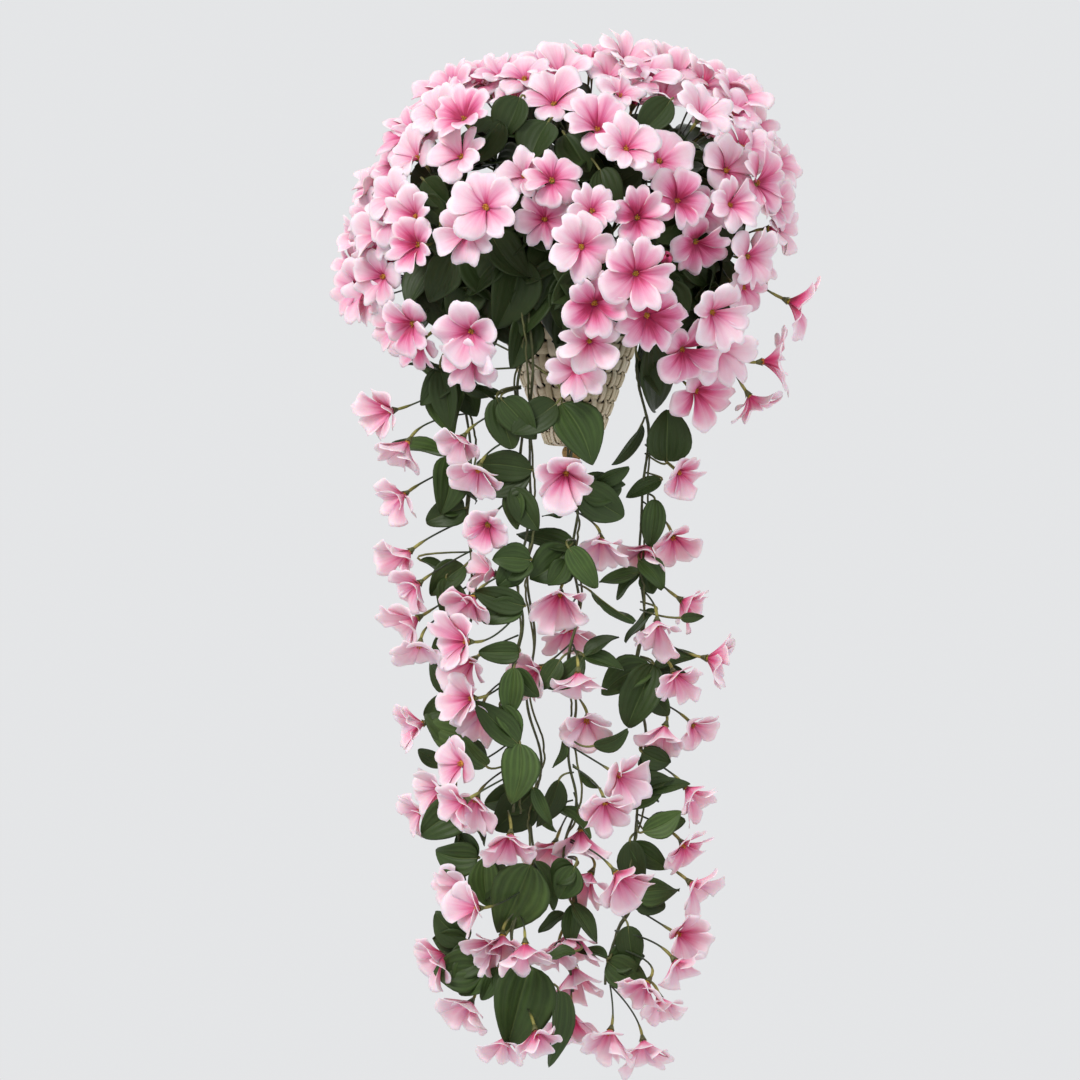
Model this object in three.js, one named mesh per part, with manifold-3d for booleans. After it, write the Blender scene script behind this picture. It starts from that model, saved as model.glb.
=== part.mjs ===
// A wall basket of trailing pink flowers: a half-round woven cone that hangs by a wire loop on a nail,
// floral foam in it, a dome of forked sprays with five-petalled blooms, and five long leafy vines.
// Millimetres, +Z up, +X to the right seen from the front. The hanging wire is in the plane y = 0, with the
// wall's face just behind it. The origin is where the nail bears in the hanging loop.
import * as THREE from 'three';
import { mergeVertices } from 'three/addons/utils/BufferGeometryUtils.js';
import Module from 'manifold-3d';

const wasm = await Module();
wasm.setup();

// ---------------------------------------------------------------- driving dimensions
const MM_PER_PX = 0.765; // 0.80 m from the top bloom to the lowest leaf
const CAMERA_DISTANCE = 2200;
const VIEW_CENTRE_PX = 540;
const NAIL_PX = [572, 236];

const BASKET = {
  rimHalfWidth: 70,
  tipHalfWidth: 20,
  depthRatio: 1.4,
  top: -30,
  bottom: -160,
  wall: 3,
  rows: 10,
  columns: 14,
  relief: 0.9,
};
const HOOP = { radius: 4, waist: 0.84, sides: 6, arcSteps: 17, backSteps: 8, inset: 1.5, frontInset: 5 };
const LOOP = { halfWidth: 11, wire: 1.4, footDepth: 3, turns: 8, sides: 6, steps: 14 };
const FOAM = { top: -38, depth: 60, gap: 0.5 };
const SEAT_GAP = 0.3;
const WALL = 4.3; // the wall's face, just behind the hoop
const WALL_GAP = 2;
const HOLE = { gap: 0.85, sides: 4, over: 1 }; // round a stem or a foot, and how far above the face it is cut
const TUFT = {
  core: 6,
  knotWidth: 1.5,
  knotDepth: 1.2,
  length: 17,
  strips: 7,
  width: 4,
  thickness: 0.9,
  jitter: 0.4,
  spread: [0.35, 0.5],
  bends: [[0, 0], [0.5, 2], [0.8, -1], [1, 2]],
};

const DOME_PX = [572, 225];
const DOME = { halfWidth: 176, above: 142, below: 165, backDepth: 50, bulge: 120 };

const HEAD_BLOOM = { radius: 29, cup: 8 };
const VINE_BLOOM = { radius: 25.5, cup: 13 };
const PETALS = 5;
const SHOULDER_TURN = 0.37; // half the angle between the two shoulders of a petal
const NOTCH = 0.64; // how far out the cut between two petals starts
const CALYX = { depth: 3, radius: 1.6, turn: 0.68 };
const STALK_END = 1.0;
const LEAF_DROOP = 0.1; // of its length
const LEAF_FOLD = 0.12; // of its width
const HEAD_STEM = { radius: 1.6, sides: 4, rootDepth: 24 };
const VINE_STEM = { radius: 1.8, sides: 4, rootDepth: 24 };
const STEM_STEP = 29;
const UPRIGHT = [10, 20]; // a stem's heights over the foam before it bends
const LEAF_FOOT = 1.1;
const LEAF_MIDDLE = 0.5;
const LEAF_THICK = 1.6;
const LEAF_EDGE = [[0.22, 0.74], [0.5, 1], [0.8, 0.66]]; // how far along and how far aside
const LEAF_RISE = 6;
const LEAF_SLIMNESS = 0.5;
const HEAD_BEND = 9;
const VINE_BEND = 10;
const PEDICEL_RISE = { middle: 20, least: 0.8, range: 0.4 };
const HEAD_LEAF_WIDTH = 32;
const HEAD_LEAF_INSET = 22;
const HEAD_LEAF_BASE = 0.25; // of the way from the stem to the tip
const HEAD_LEAF_SIZES = [0.85, 0.3];
const BLOOM_ROOTS = [0.98, 0.05]; // first bloom's place along a spray's stem, and the step back to the next
const LEAF_ROOTS = [0.9, 0.08];
const DOME_EDGE = 0.985;
const HUB_INSET = { low: 26, high: 46 };
const LOW_HUB_PX = 300;
const ARCH_HEIGHT = 12;
const MIDDLE_DEPTH = 60; // of the vines from the wall
const BLOOM_FORWARD = { least: -6, range: 14, toward: 10 };
const LEAF_LEAN = { least: -4, range: 12 };
const VINE_LEAF_FORWARD = 4;
const CLEARANCE = 1.7;
// Slides to the right and up, with the piece's scale there.
const SLIDES = [
  [0, 0, 1], [0, -6, 1], [6, 0, 1], [-6, 0, 1], [0, 6, 1], [0, 0, 0.88],
  [8, -8, 0.88], [-8, -8, 0.88], [8, 8, 0.88], [-8, 8, 0.88],
  [0, -15, 0.88], [15, 0, 0.88], [-15, 0, 0.88], [0, 15, 0.88],
];
const HEAD_SHIFTS = { bloom: { step: 3, tries: 7 }, leaf: { step: 4, tries: 7 } };
const VINE_SHIFTS = { step: 4, tries: 8 };
const BASKET_GAP = 2;
const PIECE_GAP = 0.4;
const OWN_TOUCH = 0.01;
const NEAR = 40;
const FAR = 90;
const LEAF_SAMPLES = [
  [0.5, 0], [0.25, 0], [0, 0], [-0.25, 0], [0, 0.48], [0, -0.48],
  [0.3, 0.33], [0.3, -0.33], [-0.28, 0.37], [-0.28, -0.37],
];

// ---------------------------------------------------------------- the plant, read by eye
// Points are x, y in the 1080 px frame of the front view.
// Bloom in the dome: eye x, y, then, where it doesn't face straight out, the direction it faces in
// degrees (0 right, 90 up), how much it faces the viewer (-1 to 1) and its depth from the wall in mm.
// Leaf in the dome: tip x, y. Root: x, y in mm where its stem stands in the foam.
const HEAD_SPRAYS = [
  {
    root: [-12, -26],
    blooms: [[466, 122], [463, 159], [433, 82, 135, 0.35], [432, 112, 130, 0.5], [418, 112, 140, -0.4, 24]],
    leaves: [[505, 138]],
  },
  {
    root: [-4, -38],
    blooms: [[487, 84], [525, 79], [500, 62, 100, 0.1], [554, 107], [500, 92, 105, -0.5, 24]],
    leaves: [[522, 152]],
  },
  {
    root: [5, -26],
    blooms: [[561, 74], [593, 51, 95, -0.4, 34], [597, 132], [548, 56, 95, 0.1]],
    leaves: [[563, 152], [600, 96]],
  },
  {
    root: [14, -36],
    blooms: [[620, 53, 60, 0.2], [650, 77], [682, 72, 60, 0.3], [625, 151], [640, 92, 75, -0.5, 24]],
    leaves: [[640, 112], [590, 168]],
  },
  {
    root: [23, -27],
    blooms: [[698, 120], [717, 80], [747, 92], [658, 163]],
    leaves: [[704, 160]],
  },
  {
    root: [33, -18],
    blooms: [[765, 123], [749, 145], [724, 172], [787, 162, 25, 0.1], [715, 125, 45, -0.4, 22]],
    leaves: [[746, 175]],
  },
  {
    root: [33, -31],
    blooms: [[763, 182, 10, 0.3], [727, 206], [791, 205, 5, 0.1], [675, 202]],
    leaves: [[738, 240]],
  },
  {
    root: [43, -22],
    blooms: [[776, 230], [755, 258, -20, 0.5], [694, 240, -60, 0.8, 128], [786, 300, -25, 0.1],
      [765, 262, -5, -0.5, 24]],
    leaves: [[722, 264]],
  },
  {
    root: [40, -36],
    blooms: [[710, 311], [760, 362, 5, 0], [748, 394, -55, 0], [724, 354]],
    leaves: [[752, 318], [735, 290]],
  },
  {
    root: [24, -54],
    blooms: [[680, 347], [699, 397], [646, 314], [635, 273]],
    leaves: [[664, 378], [664, 288]],
  },
  {
    root: [17, -62],
    blooms: [[594, 302], [589, 340], [576, 373], [636, 218]],
    leaves: [[548, 302], [610, 262]],
  },
  {
    root: [-14, -50],
    blooms: [[487, 208], [470, 234], [525, 178], [552, 182]],
    leaves: [[498, 170], [500, 250]],
  },
  {
    root: [-32, -22],
    blooms: [[407, 137], [396, 166], [368, 190, 160, 0.1], [400, 199], [380, 185, 160, -0.5, 22]],
    leaves: [[436, 180]],
  },
  {
    root: [-28, -36],
    blooms: [[361, 216], [384, 234], [418, 217], [421, 245]],
    leaves: [[440, 262]],
  },
  {
    root: [-43, -22],
    blooms: [[376, 279], [350, 296, 200, 0.2], [415, 322], [356, 258, 180, -0.1, 62],
      [380, 262, 185, -0.5, 22]],
    leaves: [[428, 316], [398, 262]],
  },
  {
    root: [-36, -44],
    blooms: [[473, 330], [476, 354], [432, 350]],
    leaves: [[484, 292], [514, 372]],
  },
  {
    root: [5, -46],
    blooms: [[545, 220], [581, 247], [591, 213, 60, 0.96, 186]],
    leaves: [[520, 282], [536, 248], [598, 282]],
  },
];

// Path of a vine's stem: x, y, depth from the wall in mm, from the rim down. Bloom on a vine: calyx x, y, the
// direction it faces in degrees and how much it faces the viewer. Leaf: base x, y, tip x, y, seen width.
const VINES = [
  {
    root: [-46, -10],
    path: [[494, 242, 38], [468, 264, 56], [463, 330, 62], [465, 395, 62], [467, 450, 62], [470, 510, 62],
      [472, 570, 60], [468, 640, 60], [459, 700, 58], [455, 770, 58], [463, 840, 58], [470, 890, 58],
      [465, 940, 58], [478, 992, 56]],
    blooms: [[398, 409, -165, 0.1], [411, 437, -120, 0.1], [409, 491, -140, 0.15], [414, 548, -140, 0.1],
      [423, 572, -140, 0.2], [423, 615, -150, 0.2], [421, 638, -100, 0.1], [428, 722, -165, 0.2],
      [445, 787, -165, 0.3], [427, 800, -155, 0.2], [468, 884, -165, 0.3], [450, 951, -150, 0.1],
      [474, 998, -125, 0.15]],
    leaves: [[457, 381, 408, 360, 14], [453, 380, 449, 428, 34], [446, 455, 398, 439, 12],
      [452, 458, 446, 507, 34], [465, 508, 430, 520, 26], [446, 578, 451, 624, 26],
      [443, 634, 440, 671, 16], [450, 705, 421, 678, 20], [466, 740, 430, 712, 36], [442, 766, 420, 752, 15],
      [464, 806, 428, 828, 36], [478, 856, 440, 852, 32], [461, 935, 431, 914, 30],
      [484, 962, 441, 968, 40]],
  },
  {
    root: [-22, -60],
    path: [[545, 228, 96], [528, 256, 118], [522, 330, 118], [521, 400, 110], [520, 460, 100],
      [524, 540, 96], [520, 600, 96], [517, 660, 96], [512, 720, 96], [512, 780, 96], [508, 812, 96]],
    blooms: [[466, 433, -125, 0.1], [481, 463, -110, 0.3], [490, 519, -110, 0.55], [477, 592, -125, 0.3],
      [480, 575, 168, -0.2], [474, 634, 175, 0.3], [478, 656, -140, 0.25], [478, 690, 180, 0.45],
      [476, 701, -110, 0.15], [468, 764, 175, 0.3], [479, 793, -115, 0.2], [470, 790, -150, 0.2],
      [511, 829, -95, 0.25]],
    leaves: [[497, 398, 511, 444, 30], [502, 400, 532, 436, 30],
      [524, 426, 559, 410, 26], [532, 470, 482, 466, 28], [512, 488, 535, 526, 26], [530, 560, 497, 558, 26],
      [524, 606, 480, 594, 24], [519, 652, 483, 653, 20], [514, 668, 510, 712, 22], [518, 744, 480, 706, 24],
      [486, 765, 466, 740, 18], [520, 742, 512, 795, 34]],
  },
  {
    root: [-8, -70],
    path: [[553, 222, 104], [537, 252, 124], [531, 330, 124], [531, 400, 112], [530, 470, 70], [530, 560, 48],
      [531, 640, 44], [532, 720, 44], [538, 784, 50], [532, 850, 64], [524, 900, 76], [516, 940, 82],
      [522, 985, 82], [520, 1030, 78]],
    blooms: [[503, 930, -95, 0.2], [525, 930, -88, 0.25], [484, 908, 180, 0.2], [490, 928, -145, 0.2],
      [508, 1032, -110, 0.2], [523, 1036, -75, 0.2]],
    leaves: [[534, 790, 500, 828, 38], [536, 788, 550, 827, 16], [485, 858, 488, 902, 28],
      [530, 862, 500, 931, 58], [530, 962, 512, 1041, 60], [548, 1000, 547, 1069, 20],
      [497, 955, 485, 985, 16]],
  },
  {
    root: [3, -68],
    path: [[584, 226, 104], [580, 254, 122], [576, 330, 122], [575, 400, 112], [575, 450, 100],
      [574, 520, 84], [577, 580, 78], [573, 640, 76], [573, 700, 72], [571, 740, 68], [574, 790, 62],
      [567, 840, 56],
      [573, 900, 50], [574, 950, 48], [571, 992, 48]],
    blooms: [[567, 468, -100, 0.7], [600, 533, -85, 0.35], [561, 588, -95, 0.4], [568, 622, -88, 0.25],
      [545, 665, -150, 0.2], [578, 667, -90, -0.1], [587, 714, -95, 0.45], [613, 772, -30, 0.5],
      [603, 788, -75, 0.4], [581, 824, -90, 0], [557, 838, -110, 0], [594, 868, -120, 0.2],
      [612, 868, -50, 0.1], [572, 924, -85, 0.15], [548, 930, -100, 0.1], [575, 962, -90, 0.1],
      [571, 1005, -90, 0]],
    leaves: [[562, 404, 590, 457, 42], [596, 483, 626, 470, 14], [577, 487, 619, 515, 34],
      [574, 548, 524, 530, 20], [568, 548, 535, 576, 40], [569, 548, 595, 584, 22],
      [583, 656, 551, 684, 22], [583, 656, 621, 666, 15], [594, 746, 626, 736, 14],
      [570, 768, 552, 811, 22], [578, 808, 611, 830, 14],
      [575, 866, 559, 896, 28], [572, 903, 597, 937, 14]],
  },
  {
    root: [36, -48],
    path: [[628, 234, 74], [644, 270, 82], [642, 330, 78], [643, 370, 66], [645, 440, 52], [643, 500, 48],
      [641, 570, 48], [640, 640, 48], [642, 720, 48], [640, 790, 48], [634, 860, 48], [628, 905, 50],
      [615, 930, 50], [610, 985, 50]],
    blooms: [[674, 468, -45, 0.4], [652, 541, -120, 0.3], [671, 531, -75, 0.4], [677, 597, -35, 0],
      [657, 616, -90, 0], [701, 657, -10, 0], [672, 668, -70, 0.2], [667, 721, -110, 0.3],
      [688, 720, -45, 0.2], [682, 783, -50, -0.1], [679, 839, -50, 0.1], [686, 879, -40, 0.1],
      [672, 931, -25, 0.5], [671, 956, -50, 0.1], [658, 992, -75, 0.1], [651, 977, -125, 0.2],
      [612, 1025, -105, 0.2], [642, 1027, -80, 0.15]],
    leaves: [[667, 461, 670, 416, 40], [661, 480, 630, 494, 14],
      [655, 500, 650, 541, 22], [660, 572, 623, 580, 12], [648, 570, 652, 592, 18],
      [652, 664, 628, 717, 36], [652, 668, 691, 653, 13], [642, 752, 668, 762, 22],
      [650, 786, 622, 803, 22], [652, 788, 688, 779, 18], [646, 828, 681, 820, 22], [641, 830, 652, 874, 30],
      [637, 893, 675, 893, 30], [627, 924, 632, 965, 26], [608, 962, 643, 984, 30]],
  },
];

// ---------------------------------------------------------------- vectors and seeded draws
const plus = (a, b) => [a[0] + b[0], a[1] + b[1], a[2] + b[2]];
const minus = (a, b) => [a[0] - b[0], a[1] - b[1], a[2] - b[2]];
const times = (a, k) => [a[0] * k, a[1] * k, a[2] * k];
const dot = (a, b) => a[0] * b[0] + a[1] * b[1] + a[2] * b[2];
const cross = (a, b) => [a[1] * b[2] - a[2] * b[1], a[2] * b[0] - a[0] * b[2], a[0] * b[1] - a[1] * b[0]];
const unit = (a) => times(a, 1 / Math.hypot(...a));
const between = (a, b, t) => plus(times(a, 1 - t), times(b, t));
const radians = (degrees) => (degrees * Math.PI) / 180;

let seed = 4138;
function draw() {
  seed = (seed * 16807) % 2147483647;
  return seed / 2147483647;
}

// A point of the front view at a depth from the wall, seen in perspective.
function at(x, y, depth) {
  const mm = MM_PER_PX * (1 - depth / CAMERA_DISTANCE);
  return [
    (x - VIEW_CENTRE_PX) * mm + (VIEW_CENTRE_PX - NAIL_PX[0]) * MM_PER_PX,
    WALL - depth,
    (VIEW_CENTRE_PX - y) * mm + (NAIL_PX[1] - VIEW_CENTRE_PX) * MM_PER_PX,
  ];
}

// Depth and outward direction of the dome at a point of the front view.
function onDome(x, y) {
  const height = y < DOME_PX[1] ? DOME.above : DOME.below;
  let across = ((x - DOME_PX[0]) * MM_PER_PX) / DOME.halfWidth;
  let up = ((DOME_PX[1] - y) * MM_PER_PX) / height;
  const reach = Math.min(DOME_EDGE / Math.hypot(across, up), 1);
  across *= reach;
  up *= reach;
  const forward = Math.sqrt(1 - across * across - up * up);
  const out = unit([across / DOME.halfWidth, -forward / DOME.bulge, up / height]);
  return { depth: DOME.backDepth + DOME.bulge * forward, out };
}

function facing(degrees, toward) {
  const aside = Math.sqrt(1 - toward * toward);
  return [Math.cos(radians(degrees)) * aside, -toward, Math.sin(radians(degrees)) * aside];
}

// Two directions across n, turned by an angle.
function crosswise(n, turn) {
  const helper = Math.abs(n[2]) < 0.9 ? [0, 0, 1] : [1, 0, 0];
  const a = unit(cross(helper, n));
  const b = cross(n, a);
  const u = plus(times(a, Math.cos(turn)), times(b, Math.sin(turn)));
  return { u, v: cross(n, u) };
}

// ---------------------------------------------------------------- solids
function solid(geometry) {
  const bare = geometry.clone();
  bare.deleteAttribute('normal');
  bare.deleteAttribute('uv');
  const merged = mergeVertices(bare, 1e-4);
  const mesh = new wasm.Mesh({
    numProp: 3,
    vertProperties: new Float32Array(merged.attributes.position.array),
    triVerts: new Uint32Array(merged.index.array),
  });
  return new wasm.Manifold(mesh);
}

function solidOf(points, faces) {
  const geometry = new THREE.BufferGeometry();
  geometry.setAttribute('position', new THREE.Float32BufferAttribute(points.flat(), 3));
  geometry.setIndex(faces.flat());
  return solid(geometry);
}

function geometryOf(manifold) {
  const mesh = manifold.getMesh();
  const geometry = new THREE.BufferGeometry();
  geometry.setAttribute('position', new THREE.Float32BufferAttribute(mesh.vertProperties, 3));
  geometry.setIndex(new THREE.Uint32BufferAttribute(mesh.triVerts, 1));
  geometry.computeVertexNormals();
  return geometry;
}

function joined(solids) {
  let rest = solids;
  while (rest.length > 1) {
    const pairs = [];
    for (let i = 0; i < rest.length; i += 2) {
      pairs.push(i + 1 < rest.length ? rest[i].add(rest[i + 1]) : rest[i]);
    }
    rest = pairs;
  }
  return rest[0];
}

function polygon(radius, sides) {
  const shape = new THREE.Shape();
  for (let i = 0; i < sides; i += 1) {
    const angle = (2 * Math.PI * i) / sides;
    const point = [radius * Math.cos(angle), radius * Math.sin(angle)];
    if (i === 0) shape.moveTo(...point);
    else shape.lineTo(...point);
  }
  shape.closePath();
  return shape;
}

function curveThrough(points) {
  return new THREE.CatmullRomCurve3(points.map((p) => new THREE.Vector3(...p)), false, 'catmullrom', 0.5);
}

function tube(curve, radius, sides, steps) {
  const options = { extrudePath: curve, steps, bevelEnabled: false };
  return new THREE.ExtrudeGeometry(polygon(radius, sides), options);
}

// Faces round a ring of points a to the ring b behind it, both counted the same way round.
function band(a, b) {
  const faces = [];
  for (let i = 0; i < a.length; i += 1) {
    const j = (i + 1) % a.length;
    if (a[i] !== b[i]) faces.push([a[i], b[i], b[j]]);
    if (a[j] !== b[j]) faces.push([a[i], b[j], a[j]]);
  }
  return faces;
}

// A ring of a three-sided stalk, counted round the direction back to what the stalk carries.
function stalkRing(points, centre, back, side, radius, phase = 0) {
  const a = unit(minus(side, times(back, dot(side, back))));
  const b = cross(back, a);
  const ring = [];
  for (let i = 0; i < 3; i += 1) {
    const angle = (2 * Math.PI * i) / 3 + phase;
    ring.push(points.length);
    points.push(plus(centre, plus(times(a, radius * Math.cos(angle)), times(b, radius * Math.sin(angle)))));
  }
  return { ring, side: a };
}

// A bloom: five notched petals in a shallow cup, thin at their rims, with its calyx and its stalk.
function bloomSolid(bloom) {
  const { eye, n, u, v, size, root } = bloom;
  const points = [eye];
  const rim = [];
  const spot = (angle, part) => {
    const aside = plus(times(u, Math.cos(angle)), times(v, Math.sin(angle)));
    rim.push(points.length);
    points.push(plus(eye, plus(times(n, size.cup * part), times(aside, size.radius * part))));
  };
  for (let i = 0; i < PETALS; i += 1) {
    const middle = (2 * Math.PI * i) / PETALS;
    spot(middle - SHOULDER_TURN, 1);
    spot(middle + SHOULDER_TURN, 1);
    spot(middle + Math.PI / PETALS, NOTCH);
  }
  const calyx = minus(eye, times(n, CALYX.depth));
  const way = unit(minus(calyx, root));
  const turned = plus(times(u, Math.cos(CALYX.turn)), times(v, Math.sin(CALYX.turn)));
  const first = stalkRing(points, calyx, unit(plus(n, way)), turned, CALYX.radius);
  const last = stalkRing(points, root, way, first.side, STALK_END);
  const faces = band(first.ring, last.ring);
  rim.forEach((point, i) => {
    const next = rim[(i + 1) % rim.length];
    const j = Math.floor(i / PETALS);
    faces.push([0, point, next], [next, point, first.ring[j]]);
    if (i % PETALS === PETALS - 1) faces.push([next, first.ring[j], first.ring[(j + 1) % 3]]);
  });
  faces.push([last.ring[0], last.ring[2], last.ring[1]]);
  return solidOf(points, faces);
}

// A leaf: a blade folded on its rib and drooping to the tip, thin at its edge, on a stalk.
function leafSolid(leaf) {
  const { base, tip, n, v, width, root } = leaf;
  const length = Math.hypot(...minus(tip, base));
  const spot = (along, aside, sink) => {
    const height = LEAF_FOLD * width * Math.abs(aside) - LEAF_DROOP * length * along * along;
    return plus(between(base, tip, along), plus(times(v, (aside * width) / 2), times(n, height - sink)));
  };
  const points = [spot(LEAF_MIDDLE, 0, 0), spot(LEAF_MIDDLE, 0, LEAF_THICK), spot(1, 0, 0)];
  const sides = [-1, 1].map((sign) => LEAF_EDGE.map(([along, aside]) => {
    points.push(spot(along, aside * sign, 0));
    return points.length - 1;
  }));
  const back = unit(minus(base, root));
  const foot = stalkRing(points, plus(base, times(n, -0.5)), back, times(v, -1), LEAF_FOOT, -Math.PI / 6);
  const [right, under, left] = foot.ring;
  const edge = [right, ...sides[0], 2, ...sides[1].reverse(), left];
  const last = stalkRing(points, root, back, times(v, -1), STALK_END, -Math.PI / 6);
  const faces = band(foot.ring, last.ring);
  edge.forEach((point, i) => {
    const next = edge[(i + 1) % edge.length];
    faces.push([0, point, next]);
    if (point !== left) faces.push([1, next, point]);
  });
  faces.push([1, right, under], [1, under, left], [last.ring[0], last.ring[2], last.ring[1]]);
  return solidOf(points, faces);
}

// ---------------------------------------------------------------- keeping pieces clear of each other
// Each piece is known by sample points and, where it is a blade, by its footprint and its height there.
const placed = [];

function bloomPiece(bloom) {
  const { eye, n, u, v, size, root, bend } = bloom;
  const spot = (angle, part) => plus(
    plus(eye, times(n, size.cup * part)),
    plus(times(u, size.radius * part * Math.cos(angle)), times(v, size.radius * part * Math.sin(angle))),
  );
  const outer = [eye];
  for (let i = 0; i < PETALS; i += 1) {
    const middle = (2 * Math.PI * i) / PETALS;
    outer.push(spot(middle, 0.5), spot(middle - SHOULDER_TURN, 0.99), spot(middle + SHOULDER_TURN, 0.99));
    outer.push(spot(middle, 0.95), spot(middle + Math.PI / PETALS, NOTCH));
  }
  const stalk = [between(eye, bend, 0.6), bend, between(bend, root, 0.35), between(bend, root, 0.7)];
  return {
    ...bloom,
    outer,
    points: [...outer, ...stalk],
    middle: eye,
    halfLength: size.radius + 1,
    halfWidth: size.radius + 1,
    height: (a, b) => (size.cup * Math.hypot(a, b)) / size.radius,
  };
}

function leafPiece(leaf) {
  const { base, tip, n, u, v, width, root } = leaf;
  const length = Math.hypot(...minus(tip, base));
  const height = (a, b) => {
    const along = a / length + 0.5;
    return LEAF_FOLD * width * Math.min(Math.abs(b) / (width / 2), 1) - LEAF_DROOP * length * along * along;
  };
  const middle = between(base, tip, 0.5);
  const outer = [];
  for (const [a, b] of LEAF_SAMPLES) {
    const point = plus(middle, plus(times(u, a * length), times(v, b * width)));
    outer.push(plus(point, times(n, height(a * length, b * width))));
  }
  const points = [...outer, base, between(base, root, 0.5)];
  return { ...leaf, outer, points, middle, halfLength: length / 2 + 1, halfWidth: width / 2 + 1, height };
}

function reachesThrough(points, blade) {
  if (!blade.height) return false;
  let side = 0;
  for (const point of points) {
    const from = minus(point, blade.middle);
    const a = dot(from, blade.u);
    const b = dot(from, blade.v);
    const inside = (a / blade.halfLength) ** 2 + (b / blade.halfWidth) ** 2 < 1;
    const above = dot(from, blade.n) - blade.height(a, b);
    if (!inside || Math.abs(above) > NEAR) continue;
    if (Math.abs(above) < CLEARANCE || (side !== 0 && Math.sign(above) !== side)) return true;
    side = Math.sign(above);
  }
  return false;
}

function meets(piece, other) {
  if (other === piece.stem) return false;
  if (other.height && Math.hypot(...minus(piece.middle, other.middle)) > FAR) return false;
  const same = piece.owner === other.owner;
  const mine = same ? piece.outer : piece.points;
  const theirs = same ? other.outer : other.points;
  return reachesThrough(mine, other) || reachesThrough(theirs, piece);
}

// Whether a point lies in the basket or its hoop, behind the wall, or too near them.
function blocked(point) {
  const [x, y, z] = point;
  if (y > WALL - WALL_GAP) return true;
  if (z > hoopLevel + HOOP.radius + BASKET_GAP || z < BASKET.bottom - TUFT.length) return false;
  const half = basketHalfWidth(Math.max(z, BASKET.bottom)) + HOOP.radius + BASKET_GAP;
  const depth = (WALL - y) / (half * BASKET.depthRatio);
  return (x / half) ** 2 + depth ** 2 < 1;
}

// How many pieces a body comes too near to. Pieces of its own plant may touch it where nothing else is free.
function touched(piece, body) {
  let count = 0;
  for (const other of placed) {
    if (other === piece.stem || body.minGap(other.body, PIECE_GAP) >= PIECE_GAP) continue;
    count += piece.owner === other.owner ? OWN_TOUCH : 1;
  }
  return count;
}

// Tries a piece at growing shifts forward and back, then also slid aside, and keeps the first clear one.
function settle(make, bodyOf, { step, tries }) {
  let best = null;
  for (const [right, up, scale] of SLIDES) {
    for (let k = 0; k <= 2 * tries; k += 1) {
      const shift = (k % 2 === 1 ? 1 : -1) * Math.ceil(k / 2) * step;
      const piece = make(shift, [right, 0, up], scale);
      const stuck = piece.outer.filter(blocked).length;
      const near = placed.filter((other) => meets(piece, other)).length;
      const body = bodyOf(piece);
      const hits = stuck + (stuck + near > 0 ? near : touched(piece, body));
      if (!best || hits < best.hits) best = { piece: { ...piece, body }, hits };
      if (best.hits === 0) break;
    }
    if (best.hits === 0) break;
  }
  placed.push(best.piece);
  return best.piece;
}

// ---------------------------------------------------------------- stems
function growStem(plant, points, size) {
  const [x, y] = plant.root;
  const foot = FOAM.top - size.rootDepth;
  const upright = [foot, ...UPRIGHT.map((over) => FOAM.top + over)].map((z) => [x, WALL + y, z]);
  plant.curve = curveThrough([...upright, ...points]);
  plant.steps = Math.round(plant.curve.getLength() / STEM_STEP);
  plant.line = plant.curve.getSpacedPoints(plant.steps).map((p) => [p.x, p.y, p.z]);
  plant.size = size;
  const samples = plant.curve.getSpacedPoints(plant.steps * 5).map((p) => [p.x, p.y, p.z]);
  const body = solid(tube(plant.curve, size.radius, size.sides, plant.steps));
  plant.stem = { points: samples, outer: samples, owner: plant, body };
  placed.push(plant.stem);
}

// A point of a stem at a part of its length.
function alongStem(plant, part) {
  const place = part * (plant.line.length - 1);
  const i = Math.min(Math.floor(place), plant.line.length - 2);
  return between(plant.line[i], plant.line[i + 1], place - i);
}

// A point of the hanging part of a stem at a height.
function atHeight(plant, z) {
  const { line } = plant;
  for (let i = line.length - 1; i > 0; i -= 1) {
    const [low, high] = [line[i], line[i - 1]];
    if (high[2] < low[2]) return low;
    if (z <= high[2]) return between(low, high, Math.max((z - low[2]) / (high[2] - low[2]), 0));
  }
  return line[0];
}

// ---------------------------------------------------------------- the dome's sprays
function hubOf(spray) {
  const front = spray.blooms.filter((entry) => entry.length < 5);
  const mean = (k) => front.reduce((sum, entry) => sum + entry[k], 0) / front.length;
  const dome = onDome(mean(0), mean(1));
  const inset = mean(1) > LOW_HUB_PX ? HUB_INSET.low : HUB_INSET.high;
  return plus(at(mean(0), mean(1), dome.depth), times(dome.out, -inset));
}

function growSprayStem(spray) {
  const hub = hubOf(spray);
  const [x, y] = spray.root;
  const arch = [(x + hub[0]) / 2, (WALL + y + hub[1]) / 2, ARCH_HEIGHT + Math.max(hub[2], 0) / 2];
  growStem(spray, [arch, hub], HEAD_STEM);
}

const scaled = (size, scale) => ({ radius: size.radius * scale, cup: size.cup * scale });

function headBloom(spray, index) {
  const [x, y, degrees, toward, depth] = spray.blooms[index];
  const dome = onDome(x, y);
  const n = degrees === undefined ? dome.out : facing(degrees, toward);
  const seat = at(x, y, depth === undefined ? dome.depth : depth);
  const sides = crosswise(n, draw() * 2 * Math.PI);
  const root = alongStem(spray, BLOOM_ROOTS[0] - BLOOM_ROOTS[1] * index);
  const make = (shift, slide, scale) => {
    const size = scaled(HEAD_BLOOM, scale);
    const eye = plus(plus(seat, slide), times(dome.out, shift));
    const bend = minus(eye, times(n, HEAD_BEND));
    return bloomPiece({ eye, n, ...sides, size, root, bend, owner: spray, stem: spray.stem });
  };
  return settle(make, bloomSolid, HEAD_SHIFTS.bloom);
}

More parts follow.
